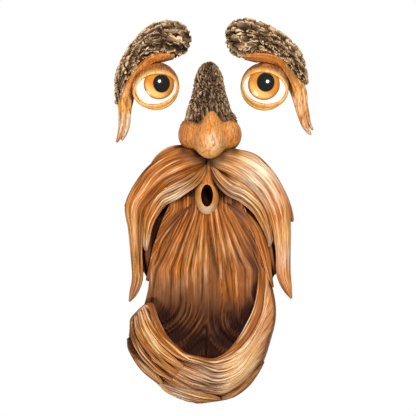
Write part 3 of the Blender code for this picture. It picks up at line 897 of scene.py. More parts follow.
@dataclass
class Casting:
    """One carved casting: forms joined into a closed mesh, cut flat at the back."""

    node: str
    slot: str
    key_place: tuple[float, float]
    head_hole: float = 10.0
    shank_slot: float = 5.0
    travel: float = 10.0
    key_depth: float = 10.0
    key_face: float = 3.5
    sharp_angle: float = 52.0
    # Grid, margin and blurs of the dark paint and painted shade laid into the creases
    wash_and_shade_cell: float = 2.0
    wash_and_shade_margin: float = 8.0
    wash_and_shade_blurs: tuple = ((4.5, 0.8, 9.0, 0.75), (14.0, 2.0, 20.0, 1.0))

    def forms(self) -> list[Form]:
        """The forms that are joined."""
        raise NotImplementedError

    def cuts(self) -> list[Form]:
        """Forms that are cut out besides the back and the keyhole."""
        return []

    def keyhole(self) -> list[Form]:
        """A round entry, a slot above it and a wider chamber behind the slot."""
        x, z = self.key_place
        half, slot = self.head_hole / 2, self.shank_slot / 2
        return [
            rod_form(self.key_place, half, -OVERCUT, self.key_depth),
            block_form((x - slot, -OVERCUT, z), (x + slot, self.key_depth, z + self.travel)),
            block_form((x - half, self.key_face, z), (x + half, self.key_depth, z + self.travel)),
        ]

    def build(self) -> bpy.types.Object:
        """Joins and cuts the forms and hands the piece to the frame.

        Its creases get dark paint and painted shade, and its proud places are marked.

        Returns:
            The finished piece.
        """
        forms = self.forms()
        target = forms[0].mesh_object(self.node + "_carved")
        tools = [(form, "UNION") for form in forms[1:]]
        tree = block_form((-TREE, -TREE, -TREE), (TREE, 0.0, TREE))
        tools += [(form, "DIFFERENCE") for form in self.cuts() + [tree] + self.keyhole()]
        others = []
        for form, operation in tools:
            other = form.mesh_object("tool")
            modifier = target.modifiers.new(operation.title(), "BOOLEAN")
            modifier.operation = operation
            modifier.solver = "MANIFOLD"
            modifier.material_mode = "TRANSFER"
            modifier.object = other
            others.append(other)
        graph = bpy.context.evaluated_depsgraph_get()
        mesh = bpy.data.meshes.new_from_object(target.evaluated_get(graph))
        target.modifiers.clear()
        target.data = mesh
        for other in others:
            bpy.data.objects.remove(other)
        mesh.name = self.node + "_carved"
        self.mend(mesh)
        self.fit(mesh)
        self.settle(mesh)
        mesh.polygons.foreach_set("use_smooth", np.ones(len(mesh.polygons), dtype=bool))
        mesh.set_sharp_from_angle(angle=math.radians(self.sharp_angle))
        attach(target, "root")
        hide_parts(self.node)
        triangles = sum(len(face.vertices) - 2 for face in mesh.polygons)
        LOG.info("%s: %d triangles, %d forms", target.name, triangles, len(forms))
        return target

    def mend(self, mesh: bpy.types.Mesh) -> None:
        """Drops the few stray pairs of faces that lie back to back on the same corners.

        Args:
            mesh: The joined mesh.
        """
        mesh.validate()
        work = bmesh.new()
        work.from_mesh(mesh)
        stray = [face for face in work.faces if all(edge.is_boundary for edge in face.edges)]
        bmesh.ops.delete(work, geom=stray, context="FACES")
        work.to_mesh(mesh)
        work.free()

    def fit(self, mesh: bpy.types.Mesh) -> None:
        """Shrinks the mesh by a hair along each axis where it passes the plain casting's box.

        Args:
            mesh: The joined mesh.
        """
        place = mesh_points(mesh)
        low, high = (np.array(corner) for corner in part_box(self.node))
        own_low, own_high = place.min(axis=0), place.max(axis=0)
        new_low, new_high = np.maximum(low, own_low), np.minimum(high, own_high)
        place = new_low + (place - own_low) * (new_high - new_low) / (own_high - own_low)
        mesh.vertices.foreach_set("co", place.astype(np.float32).ravel())

    def settle(self, mesh: bpy.types.Mesh) -> None:
        """Darkens creases with paint and painted shade, and marks where the surface stands proud.

        The front view's depth is laid out on a grid and blurred by Gauss curves of two widths.
        A point deeper than the blur round it lies in a crease; a higher one stands proud. At
        the outline, where half of the blur has no material under it, nothing is darkened.

        Args:
            mesh: The joined mesh, which gets a corner paint: red for the dark paint and painted
            shade of its creases, green where it stands proud.
        """
        place = mesh_points(mesh) / MM
        cell = self.wash_and_shade_cell
        low = place.min(axis=0) - self.wash_and_shade_margin
        size = ((place.max(axis=0) + self.wash_and_shade_margin - low) / cell).astype(int) + 1
        i = ((place[:, 0] - low[0]) / cell).astype(int)
        j = ((place[:, 2] - low[2]) / cell).astype(int)
        depth = np.zeros((size[0], size[2]))
        np.maximum.at(depth, (i, j), -place[:, 1])
        solid = (depth > 0.5).astype(float)
        crease, proud = np.zeros(len(place)), np.zeros(len(place))
        for spread, start, reach, strength in self.wash_and_shade_blurs:
            rows, columns = (
                np.exp(-((np.arange(n)[:, None] - np.arange(n)[None, :]) * cell / spread) ** 2 / 2)
                for n in depth.shape)
            cover = rows @ solid @ columns
            full = rows @ np.ones(depth.shape) @ columns
            level = (rows @ (depth * solid) @ columns) / np.maximum(cover, 1e-6)
            open_share = (cover / full)[i, j]
            below = level[i, j] + place[:, 1]
            # Painted shade, with some dark paint, where the surface lies deeper than the blur round
            # it
            crease += strength * step(start, reach, below) * step(0.45, 0.85, open_share)
            # Proud places, which get pale brush marks and painted highlights in the hair
            proud += 0.5 * step(0.0, 0.35 * reach, -below)
        where = np.empty(len(mesh.loops), dtype=np.int32)
        mesh.loops.foreach_get("vertex_index", where)
        values = np.stack([np.clip(crease, 0.0, 1.0), np.clip(proud, 0.0, 1.0), 0.0 * crease],
                          axis=1)
        paint_corners(mesh, "Wash", values, where)


@dataclass
class BeardCasting(Casting):
    """Nose, moustache, mouth, beard and seed bowl, carved as one."""

    node: str = "beard_casting"
    slot: str = "beard_resin"
    key_place: tuple[float, float] = (0.0, 52.0)
    bowl_depth: float = 90.0
    bowl_wall: float = 12.0
    bowl_floor: float = 11.0
    bowl_carve: float = 4.2
    bowl_axis: tuple[float, float] = (-6.0, -130.0)
    panel_thickness: float = 13.0
    panel_edge: float = 21.0
    panel_carve: float = 3.8
    backing: float = 6.0
    lip_crest: float = 3.2
    bowl_grid: tuple[int, int, int] = (110, 190, 56)
    panel_grid: tuple[int, int] = (96, 190)
    mouth_centre: tuple[float, float] = (-1.0, 12.5)
    mouth_half: tuple[float, float] = (7.3, 14.0)
    lip_width: float = 7.0
    lip_reach: float = 36.0
    mouth_bottom: float = 13.0

    rope_count: int = 4
    inner_rope: tuple = ((-64, -100, 5, 3), (-58, -115, 9, 4), (-45, -132, 10, 4),
                         (-31, -144, 9, 3.6), (-18, -151, 3, 2))
    outer_rope: tuple = ((-75, -114, 6, 3), (-74, -128, 10, 4), (-64, -146, 10, 4.4),
                         (-51, -160, 9, 4), (-36, -170, 3, 2))
    # Patches of painted shadow under the nose and in the parting
    shadows: tuple = (((-24, 58), 9.0), ((-12, 52), 8.0), ((1, 47), 8.0), ((14, 52), 8.0),
                      ((27, 58), 8.0), ((1, 36), 4.0))
    bowl_outline: tuple = (
        (-46, -58, 52, 0.42), (-70, -66, 62, 0.60), (-95, -74, 68, 0.76), (-114, -79, 68, 0.86),
        (-134, -80, 63, 0.94), (-150, -76, 58, 1.00), (-165, -64, 51, 0.98),
        (-177, -52, 41, 0.88), (-187, -40, 30, 0.68), (-193, -29, 19, 0.47), (-197, -13, -7, 0.16))
    bowl_rim: tuple = (
        (0, -114), (18, -106), (36, -97), (47, -112), (60, -131), (75, -145), (90, -150),
        (105, -152), (120, -144), (132, -131), (141, -110), (151, -82), (165, -63), (180, -50))
    panel_outline: tuple = (
        (34, -22, 22, 11), (14, -33, 31, 7), (-8, -44, 40, 3), (-30, -52, 47, 1),
        (-55, -58, 53, 0), (-80, -60, 58, 0), (-105, -66, 61, 0), (-130, -71, 58, 1),
        (-150, -68, 52, 3), (-168, -56, 42, 9), (-186, -34, 22, 17))
    backing_outline: tuple = (
        (36, -40, 40), (12, -64, 60), (-12, -70, 68), (-40, -69, 71), (-62, -66, 70),
        (-76, -58, 62))
    nose_inside: tuple[float, float, float] = (2.0, 22.0, 78.0)
    nose_blend: float = 3.6
    nose_eggs: tuple = (
        ((2.0, 42.0, 69.0), (16.0, 26.5, 19.5)), ((-17.0, 29.0, 73.5), (12.8, 19.0, 15.6)),
        ((20.5, 29.0, 73.5), (13.2, 19.0, 15.6)), ((3.5, 38.0, 88.0), (6.6, 19.0, 11.0)),
        ((2.0, 6.0, 76.0), (22.0, 20.0, 20.0)))
    nose_bark: tuple = (
        (1, 143, 8, 7, 5), (1, 138, 13, 20, 11), (1, 128, 17, 28, 18), (1, 114, 20, 33, 23),
        (1, 103, 24, 39, 25), (1, 95, 26, 45, 25), (1.5, 89, 25, 55, 20), (1.5, 84, 21, 58, 11))
    nose_root: tuple = ((2, 96, 2, 34, 26), (2, 70, 4, 52, 30), (0, 44, 4, 34, 28),
                        (0, 26, 4, 16, 20))
    # Spots of the nose's paint; the two gold ones under the tip are painted light on its shaded
    # underside
    nose_spots: tuple = (
        (Tone.CREAM, (2, 63), 9.0), (Tone.HONEY, (-24, 76), 12.0), (Tone.GOLD, (-6, 52), 8.0),
        (Tone.GOLD, (8, 52), 8.0), (Tone.TAN, (22, 80), 7.0), (Tone.HONEY, (-22, 64), 9.0),
        (Tone.HONEY, (28, 70), 11.0))
    panel_spots: tuple = (
        (Tone.AMBER, (0, -12), 9.0), (Tone.AMBER, (-30, -62), 12.0), (Tone.TAN, (-8, -50), 16.0),
        (Tone.AMBER, (24, -78), 12.0), (Tone.TAN, (20, -40), 14.0))
    bowl_spots: tuple = (
        (Tone.GREYED, (-62, -112), 26.0), (Tone.PALE, (-52, -140), 20.0),
        (Tone.GREYED, (-8, -172), 30.0), (Tone.CREAM, (4, -168), 16.0),
        (Tone.PALE, (36, -158), 20.0), (Tone.BROWN, (56, -112), 26.0),
        (Tone.AMBER, (60, -98), 14.0), (Tone.BROWN, (-72, -148), 12.0))
    bowl_strips: tuple = (
        (((-78, -131, 9, 4), (-76, -141, 14, 4.5), (-65, -156, 17, 4.5), (-51, -169, 13, 4),
          (-45, -174, 4, 3)), (Tone.UMBER, Tone.BROWN, Tone.PALE, Tone.TAN), 13.9),
        (((-47, -174, 10, 4), (-38, -180, 17, 4.5), (-18, -186, 17, 4.5), (2, -189, 12, 4),
          (12, -190, 4, 3)), (Tone.PALE, Tone.CREAM, Tone.TAN, Tone.BROWN), 14.2),
        (((13, -189, 6, 4), (24, -185, 14, 5), (38, -175, 15, 5), (48, -164, 9, 4),
          (55, -154, 3, 2)), (Tone.UMBER, Tone.TAN, Tone.TAN), 15.4))

    def locks(self) -> list[Lock]:
        """The locks of the moustache and those down the panel's edges.

        Returns:
            Those of the left half, of the right half and of the panel's edges, then the two that
            fill the moustache behind its main locks.
        """
        tone = Tone
        return [
            Lock(((-6, 50, 27, 20, 17), (-26, 46, 31, 30, 18), (-47, 35, 31, 29, 18),
                  (-61.5, 19.5, 28, 27, 17), (-73, 1, 24, 22, 15), (-73, -20, 19, 16, 12),
                  (-72, -45, 15, 13, 10), (-71, -70, 13, 12, 9), (-75, -85, 12, 9, 7),
                  (-79, -94, 12, 2, 3)),
                 (tone.SHADE, tone.AMBER, tone.BROWN, tone.BROWN, tone.TAN, tone.TAN, tone.TAN,
                  tone.GREYED), 1.3),
            Lock(((-2.5, 43, 26, 8, 11), (-13, 30, 28, 16, 13), (-33, 18, 26, 20, 13),
                  (-48, 10, 24, 20, 13), (-59, -8, 20, 16, 12), (-62, -21, 17, 12, 10),
                  (-63, -36, 15, 8, 8), (-62, -43, 14, 2, 3)),
                 (tone.BROWN, tone.TAN, tone.CREAM, tone.PALE, tone.AMBER, tone.TAN, tone.CREAM),
                 2.7, carve=3.0),
            Lock(((-22, 56, 22, 16, 14), (-36, 54, 22, 17, 13), (-47, 50, 20, 12, 10),
                  (-56, 45, 18, 3, 4)), (tone.BROWN, tone.TAN), 3.1),
            Lock(((-43, 40, 23, 18, 15), (-57, 31, 23, 20, 15), (-67, 18.5, 21, 18, 14),
                  (-75.5, 8, 18, 13, 10), (-83, 2, 16, 3, 4)), (tone.BROWN, tone.AMBER), 4.9),
            Lock(((-54, -8, 6, 14, 10), (-60, -30, 6, 12, 10), (-61, -48, 6, 10, 9),
                  (-60, -67, 6, 3, 4)), (tone.UMBER, tone.UMBER), 5.3),
            Lock(((6, 50, 27, 20, 17), (26, 46, 31, 28, 18), (44, 36, 31, 30, 18),
                  (60, 20, 28, 28, 17), (70, 0, 24, 25, 15), (74, -22, 19, 19, 12),
                  (75.5, -45, 15, 16, 10), (76, -66, 13, 15, 9), (80, -81, 12, 10, 7),
                  (84, -91, 12, 2, 3)),
                 (tone.SHADE, tone.TAN, tone.CREAM, tone.GREYED, tone.BROWN, tone.TAN, tone.GREYED,
                  tone.BROWN, tone.BROWN), 6.1, calm=0.7),
            Lock(((2.5, 44, 26, 8, 11), (13, 29, 28, 16, 13), (24, 20, 27, 19, 13),
                  (37, 14, 26, 20, 13), (51, 1, 23, 18, 12), (58, -15, 18, 13, 10),
                  (62, -30, 15, 8, 8), (61.5, -39, 14, 2, 3)),
                 (tone.BROWN, tone.TAN, tone.CREAM, tone.PALE, tone.TAN, tone.TAN, tone.CREAM),
                 7.7, carve=3.0),
            Lock(((28, 50, 23, 20, 15), (44, 44, 24, 22, 15), (59, 29, 23, 21, 14),
                  (71, 11, 20, 18, 12), (80, -4, 17, 11, 9), (85, -13, 15, 3, 4)),
                 (tone.BROWN, tone.TAN, tone.TAN, tone.GREYED), 8.2),
            Lock(((54, -12, 6, 14, 10), (61, -32, 6, 12, 10), (64, -50, 6, 10, 9),
                  (67, -67, 6, 3, 4)), (tone.UMBER, tone.UMBER), 9.4),
            Lock(((-16, 4, 14, 4, 5), (-35, -14, 13, 12, 9), (-48, -34, 12, 12, 9),
                  (-54, -55, 12, 11, 9), (-61, -73, 11, 4, 5)),
                 (tone.SHADE, tone.UMBER, tone.BROWN, tone.BROWN), 10.6, carve=2.4, bundle=4.0),
            Lock(((15, 7, 14, 4, 5), (33, -4, 14, 15, 10), (46, -20, 13, 16, 10),
                  (55, -44, 12, 14, 9), (61, -68, 11, 8, 6), (65, -80, 11, 3, 4)),
                 (tone.SHADE, tone.UMBER, tone.BROWN, tone.BROWN, tone.TAN), 11.8, carve=2.4,
                 bundle=4.0),
            Lock(((-8, 44, 24, 8, 10), (-28, 31, 24, 18, 13), (-45, 21, 23, 20, 13),
                  (-60, 2, 19, 18, 12), (-67, -20, 15, 13, 9), (-67, -38, 13, 4, 6)),
                 (tone.BROWN, tone.AMBER, tone.BROWN, tone.TAN), 25.2),
            Lock(((8, 44, 24, 8, 10), (26, 33, 25, 16, 13), (42, 24, 25, 20, 13),
                  (57, 5, 21, 20, 12), (67, -18, 15, 14, 9), (69, -38, 13, 4, 6)),
                 (tone.BROWN, tone.TAN, tone.TAN, tone.TAN), 26.7),
        ]

    def parting(self) -> Lock:
        """The amber strip between the moustache's halves, down to the lips."""
        return Lock(((1, 62, 24, 14, 12), (1, 50, 25, 14, 12), (0.5, 38, 22, 12, 11),
                     (-0.5, 26, 22, 14, 9), (-1, 14, 20, 18, 8)),
                    (Tone.SHADE, Tone.SHADE, Tone.BROWN, Tone.AMBER, Tone.AMBER), 24.4,
                    Finish.SKIN, carve=1.6, bundle=3.4)

    def bowl_locks(self) -> list[Lock]:
        """The locks that lie on the bowl's outside, set on its surface.

        Returns:
            The drawn ones, then the ropes from the inner to the outer one.
        """
        drawn = list(self.bowl_strips)
        for k in range(self.rope_count):
            part = k / (self.rope_count - 1)
            rows = np.array(self.inner_rope) * (1.0 - part) + np.array(self.outer_rope) * part
            middle = Tone.PALE if k % 2 else Tone.BROWN
            drawn.append((rows, (Tone.GREYED, Tone.TAN, middle, Tone.TAN, Tone.BROWN),
                          40.5 + 1.7 * k))
        return [Lock(tuple((x, z, self.depth_at(x, z) - 1.0, width, height)
                           for x, z, width, height in rows), tones, seed, carve=3.4, bundle=4.6,
                     sink=0.7, axis=self.bowl_axis) for rows, tones, seed in drawn]

    def bowl_shape(self, level: np.ndarray) -> tuple[np.ndarray, np.ndarray, np.ndarray]:
        """Middle, half width and reach of the bowl at heights in mm."""
        rows = catmull(self.bowl_outline, 80, 3)
        z, left, right, reach = rows[np.argsort(rows[:, 0])].T
        low, high = np.interp(level, z, left), np.interp(level, z, right)
        return (low + high) / 2, (high - low) / 2, np.interp(level, z, reach) * self.bowl_depth

    def depth_at(self, x: float, z: float) -> float:
        """How far the bowl's outside stands from the tree at a point of the front view."""
        middle, half, reach = self.bowl_shape(np.array([float(z)]))
        side = min(0.98, abs(x - middle[0]) / half[0])
        return float(reach[0]) * (1.0 - side * side) ** 0.425

    def bowl_rows(self, rim: np.ndarray, bottom: float, inset: np.ndarray | float,
                  angles: np.ndarray, fall: np.ndarray) -> np.ndarray:
        """Points of the bowl between its rim and its bottom.

        Each height is cut as a superellipse from the left at the tree over the front to the
        right at the tree, set in from the outside.

        Args:
            rim: The rim's height at each angle.
            bottom: The lowest height.
            inset: How far the surface lies inside the outer one, also for each row.
            angles: Angles round the bowl.
            fall: Share of the way down, for each row.

        Returns:
            Rows by angles by (x, depth, z).
        """
        height = rim[None, :] + (bottom - rim[None, :]) * fall[:, None]
        inset = np.broadcast_to(inset, fall.shape)[:, None]
        middle, half, reach = self.bowl_shape(height - inset)
        half, reach = np.maximum(half - inset, 0.8), np.maximum(reach - inset, 0.8)
        forward = np.abs(np.sin(angles))[None, :] ** 0.85
        return np.stack([middle - half * np.cos(angles)[None, :], reach * forward, height], axis=2)

    def bowl(self) -> Form:
        """The beard's front wall with strands along its rim, a rounded lip and a dark inside.

        Returns:
            The closed form, whose rows run up the outside, over the lip and down the inside.
        """
        rim_rows = catmull(self.bowl_rim, 160, 1)
        columns, outer_rows, inner_rows = self.bowl_grid
        angles = np.radians(np.linspace(0.0, 180.0, columns))
        degrees = np.degrees(angles)[None, :]
        rim = np.interp(degrees[0], rim_rows[:, 0], rim_rows[:, 1])
        lowest = self.bowl_outline[-1][0]
        turn = np.linspace(0.0, math.pi, 16)[1:-1]
        outer_fall, inner_fall = (np.sin(np.linspace(0.0, math.pi / 2, rows)) ** 1.15
                                  for rows in (outer_rows, inner_rows))
        outer = self.bowl_rows(rim, lowest, 0.0, angles, outer_fall)
        inner = self.bowl_rows(rim, lowest + self.bowl_floor, self.bowl_wall, angles, inner_fall)
        lip = self.bowl_rows(rim, lowest, self.bowl_wall * (1.0 - np.cos(turn)) / 2.0, angles,
                             np.zeros(len(turn)))
        lip[:, :, 2] += self.lip_crest * np.sin(turn)[:, None]
        down = way(outer)
        swept = (down / np.maximum(down[-1:], 1.0) * 118.0
                 + 10.0 * np.sin(np.radians(degrees * 1.9 - 40.0)))
        lip_q = (-3.0 - 14.0 * turn / math.pi)[:, None] + 0.0 * degrees
        in_q = np.linspace(0.0, 90.0, len(inner))[:, None] + 0.0 * degrees
        along, lip_t, in_t = (np.broadcast_to(degrees * pitch, q.shape)
                              for q, pitch in ((swept, 1.45), (lip_q, 1.45), (in_q, 1.2)))
        smooth = 1.0 - 0.5 * step(108.0, 128.0, degrees)
        ridge = 1.0 - smooth * (1.0 - strands(swept, along, 16.5, 6.6))
        lip_ridge = strands(lip_q, lip_t, 18.5, 4.2)
        in_ridge = strands(in_q, in_t, 19.5, 6.0)
        normal = unit(outer - np.array((self.bowl_axis[0], 10.0, self.bowl_axis[1])))
        edge = step(0.0, 5.0, down) * np.sin(np.clip(angles, 0.12, math.pi))[None, :] ** 0.3
        outer = outer - normal * ((1.0 - ridge) * self.bowl_carve * edge)[..., None]
        lip = lip - np.array((0.0, -0.35, 1.0)) * ((1.0 - lip_ridge) * 1.3)[..., None]
        inward = unit(np.array((self.bowl_axis[0], 20.0, self.bowl_axis[1])) - inner)
        inner = inner - inward * ((1.0 - in_ridge) * 1.2)[..., None]
        fields = (self.bowl_tint(outer[::-1], lip, inner),
                  np.concatenate([ridge[::-1], lip_ridge, in_ridge]),
                  np.concatenate([swept[::-1], lip_q, in_q + 200.0]) + 2000.0,
                  np.concatenate([along, lip_t, in_t]))
        return Form.backed(np.concatenate([outer[::-1], lip, inner]), fields, columns // 12)

    def bowl_tint(self, outer: np.ndarray, lip: np.ndarray, inner: np.ndarray) -> np.ndarray:
        """Paint of the bowl: tan with spots outside, brown on the lip, dark painted shade inside.
        """
        paint = dabs(np.broadcast_to(Tone.TAN(), outer.shape), outer, self.bowl_spots, 0.85)
        roll = np.broadcast_to(0.6 * Tone.BROWN() + 0.4 * Tone.UMBER(), lip.shape)
        # Inside, painted shade: dark deep down and browner towards the rim
        top = np.exp(-np.linspace(0.0, 6.0, len(inner)))[:, None]
        pit = np.broadcast_to(dab(Tone.DARK() * 1.2, Tone.BROWN(), top), inner.shape)
        return np.concatenate([paint, roll, pit])

    def panel(self) -> Form:
        """The flat beard, whose strands fan out from the mouth and curl apart at the bottom.

        The strand coordinate fans from the mouth's middle line. Below the curl's height it
        turns into circles about a point at each side.

        Returns:
            The closed form.
        """
        count, columns = self.panel_grid
        rows = catmull(self.panel_outline, count, 1)
        share = np.linspace(-1.0, 1.0, columns)[None, :]
        height, left, right, swell = (rows[:, k][:, None] for k in range(4))
        x = (left + right) / 2 + (right - left) / 2 * share
        z = np.broadcast_to(height, x.shape)
        spread = x / np.interp(-z, (2.0, 62.0), (0.4, 1.0))
        q_left = np.hypot(x + 56.0, np.maximum(0.0, -92.0 - z)) - 56.0
        q_right = 38.0 - np.hypot(38.0 - x, np.maximum(0.0, -110.0 - z))
        low = step(80.0, 120.0, -z)
        middle = step(-4.0, 4.0, x + 1.0)
        q = spread * (1.0 - low) + (q_left * (1.0 - middle) + q_right * middle) * low
        t = -z + 0.25 * np.abs(x)
        ridge = strands(q, t, 20.5, 7.4)
        front = swell + self.panel_thickness + (self.panel_edge - self.panel_thickness) * share**4
        front = front + self.panel_carve * (1.0 + 0.5 * low) * (ridge - 0.55)
        face = np.stack([x, front, z], axis=-1)
        # Brown, darker towards the bottom; lower down, inside the bowl, painted deep shade, a
        # little lighter on the strands' ridges
        crest = 0.30 * Tone.BROWN() * step(0.55, 0.90, ridge)[..., None]
        tint = dab(Tone.BROWN(), Tone.UMBER(), step(-12.0, 92.0, -z))
        tint = dab(tint, Tone.DARK() + crest, step(82.0, 118.0, -z))
        tint = dabs(tint, face, self.panel_spots, 0.6)
        return Form.backed(face, (tint, ridge, q + 3000.0, t), columns // 8)

    def backing_form(self) -> Form:
        """The plate that closes the creases between the moustache and the beard.

        It is painted as their shade, a dark sheet where the creases lie in shade.
        """
        rings = np.array([[(left, self.backing, z), (right, self.backing, z),
                           (right, -OVERCUT, z), (left, -OVERCUT, z)]
                          for z, left, right in self.backing_outline], dtype=float)
        return Form.plain(rings, Tone.SHADE(), Finish.HAIR, 0.6, 0.3)

    def nose_forms(self) -> list[Form]:
        """The root, the smooth nose and the bark on its bridge."""
        bark = Lock(self.nose_bark, (Tone.BARK_DARK, Tone.BARK_DARK), 22.3, Finish.BARK, carve=3.6,
                    fine=0.5, pace=0.55, flake=3.8, lift=1.0)
        root = Lock(self.nose_root, (Tone.BROWN, Tone.UMBER), 23.1, fine=2.0, pace=4.0)
        return [root.form(), self.nose_skin(), bark.form()]

    def nose_skin(self) -> Form:
        """Tip, wings and bridge as one smooth surface.

        Five ellipsoids are blended with a soft minimum of their distances. Along every direction
        from a point inside, the surface is where that distance turns positive, found by halving.

        Returns:
            The closed form.
        """
        inside = np.array(self.nose_inside)
        ray = sphere(120, 190, 0.02)
        near, far = np.zeros(ray.shape[:2]), np.full(ray.shape[:2], 90.0)
        for _ in range(24):
            middle = (near + far) / 2.0
            point = inside + ray * middle[..., None]
            total = np.zeros(middle.shape)
            for centre, radii in self.nose_eggs:
                offset = (point - centre) / radii
                length = np.linalg.norm(offset, axis=-1)
                slope = np.linalg.norm(offset / radii, axis=-1)
                gap = length * (length - 1.0) / np.maximum(slope, 1e-6)
                total += np.exp(-gap / self.nose_blend)
            outside = np.log(total) < 0.0
            far = np.where(outside, middle, far)
            near = np.where(outside, near, middle)
        points = inside + ray * far[..., None]
        x, z = points[..., 0], points[..., 2]
        rough = 6.0 * drift(x / 5.0, z / 5.0, 4.0) - 3.0
        upper = step(81.0, 88.0, z + rough) * step(6.0, 13.0, np.abs(x - 4.0))
        # Umber under the outer wings: painted shade
        under = step(62.0, 56.0, z) * step(18.0, 26.0, np.abs(x - 2.0))
        tint = np.broadcast_to(0.48 * Tone.TAN() + 0.40 * Tone.AMBER(), points.shape)
        tint = dab(tint, Tone.PURPLE(), upper * 0.9)
        tint = dabs(tint, points, self.nose_spots, 0.8)
        tint = dab(tint, Tone.UMBER(), under * 0.6)
        return Form.plain(points, tint, Finish.SKIN, grain=0.85)

    def lips(self) -> Form:
        """The pouting lips: an ellipsoid whose middle the mouth is cut into.

        Returns:
            The closed form.
        """
        x, z = self.mouth_centre
        radii = (self.mouth_half[0] + self.lip_width, self.lip_reach,
                 self.mouth_half[1] + self.lip_width)
        form = ball_form((x, 0.0, z), radii, Tone.TAN, Finish.SKIN, rounds=60)
        # Umber where the lips turn back towards the beard: painted shade
        tint = dab(Tone.UMBER(), form.tint, step(12.0, 30.0, form.points[..., 1]))
        form.tint = dab(tint, Tone.CREAM(), patch(form.points, (1.0, -5.0), 9.0) * 0.9)
        form.grain = 0.35
        return form

    def keel(self) -> Form:
        """A rounded keel that closes the bowl's bottom against the beard."""
        lowest = self.bowl_outline[-1][0]
        return ball_form((-10.0, 0.0, lowest + self.bowl_floor),
                         (self.bowl_wall, self.bowl_depth / 3, self.bowl_floor), Tone.BROWN,
                         Finish.HAIR, rounds=20)

    def shaded(self, form: Form) -> Form:
        """The form with the painted shadow that lies under the nose and in the parting."""
        for place, size in self.shadows:
            form.tint = dab(form.tint, Tone.SHADE() * 0.5, patch(form.points, place, size) * 0.9)
        return form

    def forms(self) -> list[Form]:
        """All forms of the casting."""
        made = [self.panel(), self.bowl(), self.keel(), self.backing_form(), self.lips()]
        locks = self.locks() + self.bowl_locks() + [self.parting()]
        return made + [self.shaded(lock.form()) for lock in locks] + self.nose_forms()

    def cuts(self) -> list[Form]:
        """The mouth's hollow, whose cut faces take its dark painted shade."""
        depth = self.lip_reach + 20.0
        return [ball_form((self.mouth_centre[0], depth, self.mouth_centre[1]),
                          (self.mouth_half[0], depth - self.mouth_bottom, self.mouth_half[1]),
                          Tone.DARK, Finish.HAIR, 0.55)]


@dataclass
class EyeDrawing:
    """Rows of one eye, each relative to the eye's centre, in mm."""

    centre: tuple[float, float]
    keyhole: tuple[float, float]
    brow: tuple
    strip: tuple
    prong: tuple
    iris: tuple[float, float]
    iris_radius: float
    pupil: tuple[float, float]
    pupil_radius: float
    opening: tuple[float, float, float, float]
    lid_tilt: float
    strip_tones: tuple
    prong_tones: tuple

    def at(self, offset: tuple[float, float]) -> tuple[float, float]:
        """The place in the front view of a point given from the eye's centre."""
        return (self.centre[0] + offset[0], self.centre[1] + offset[1])


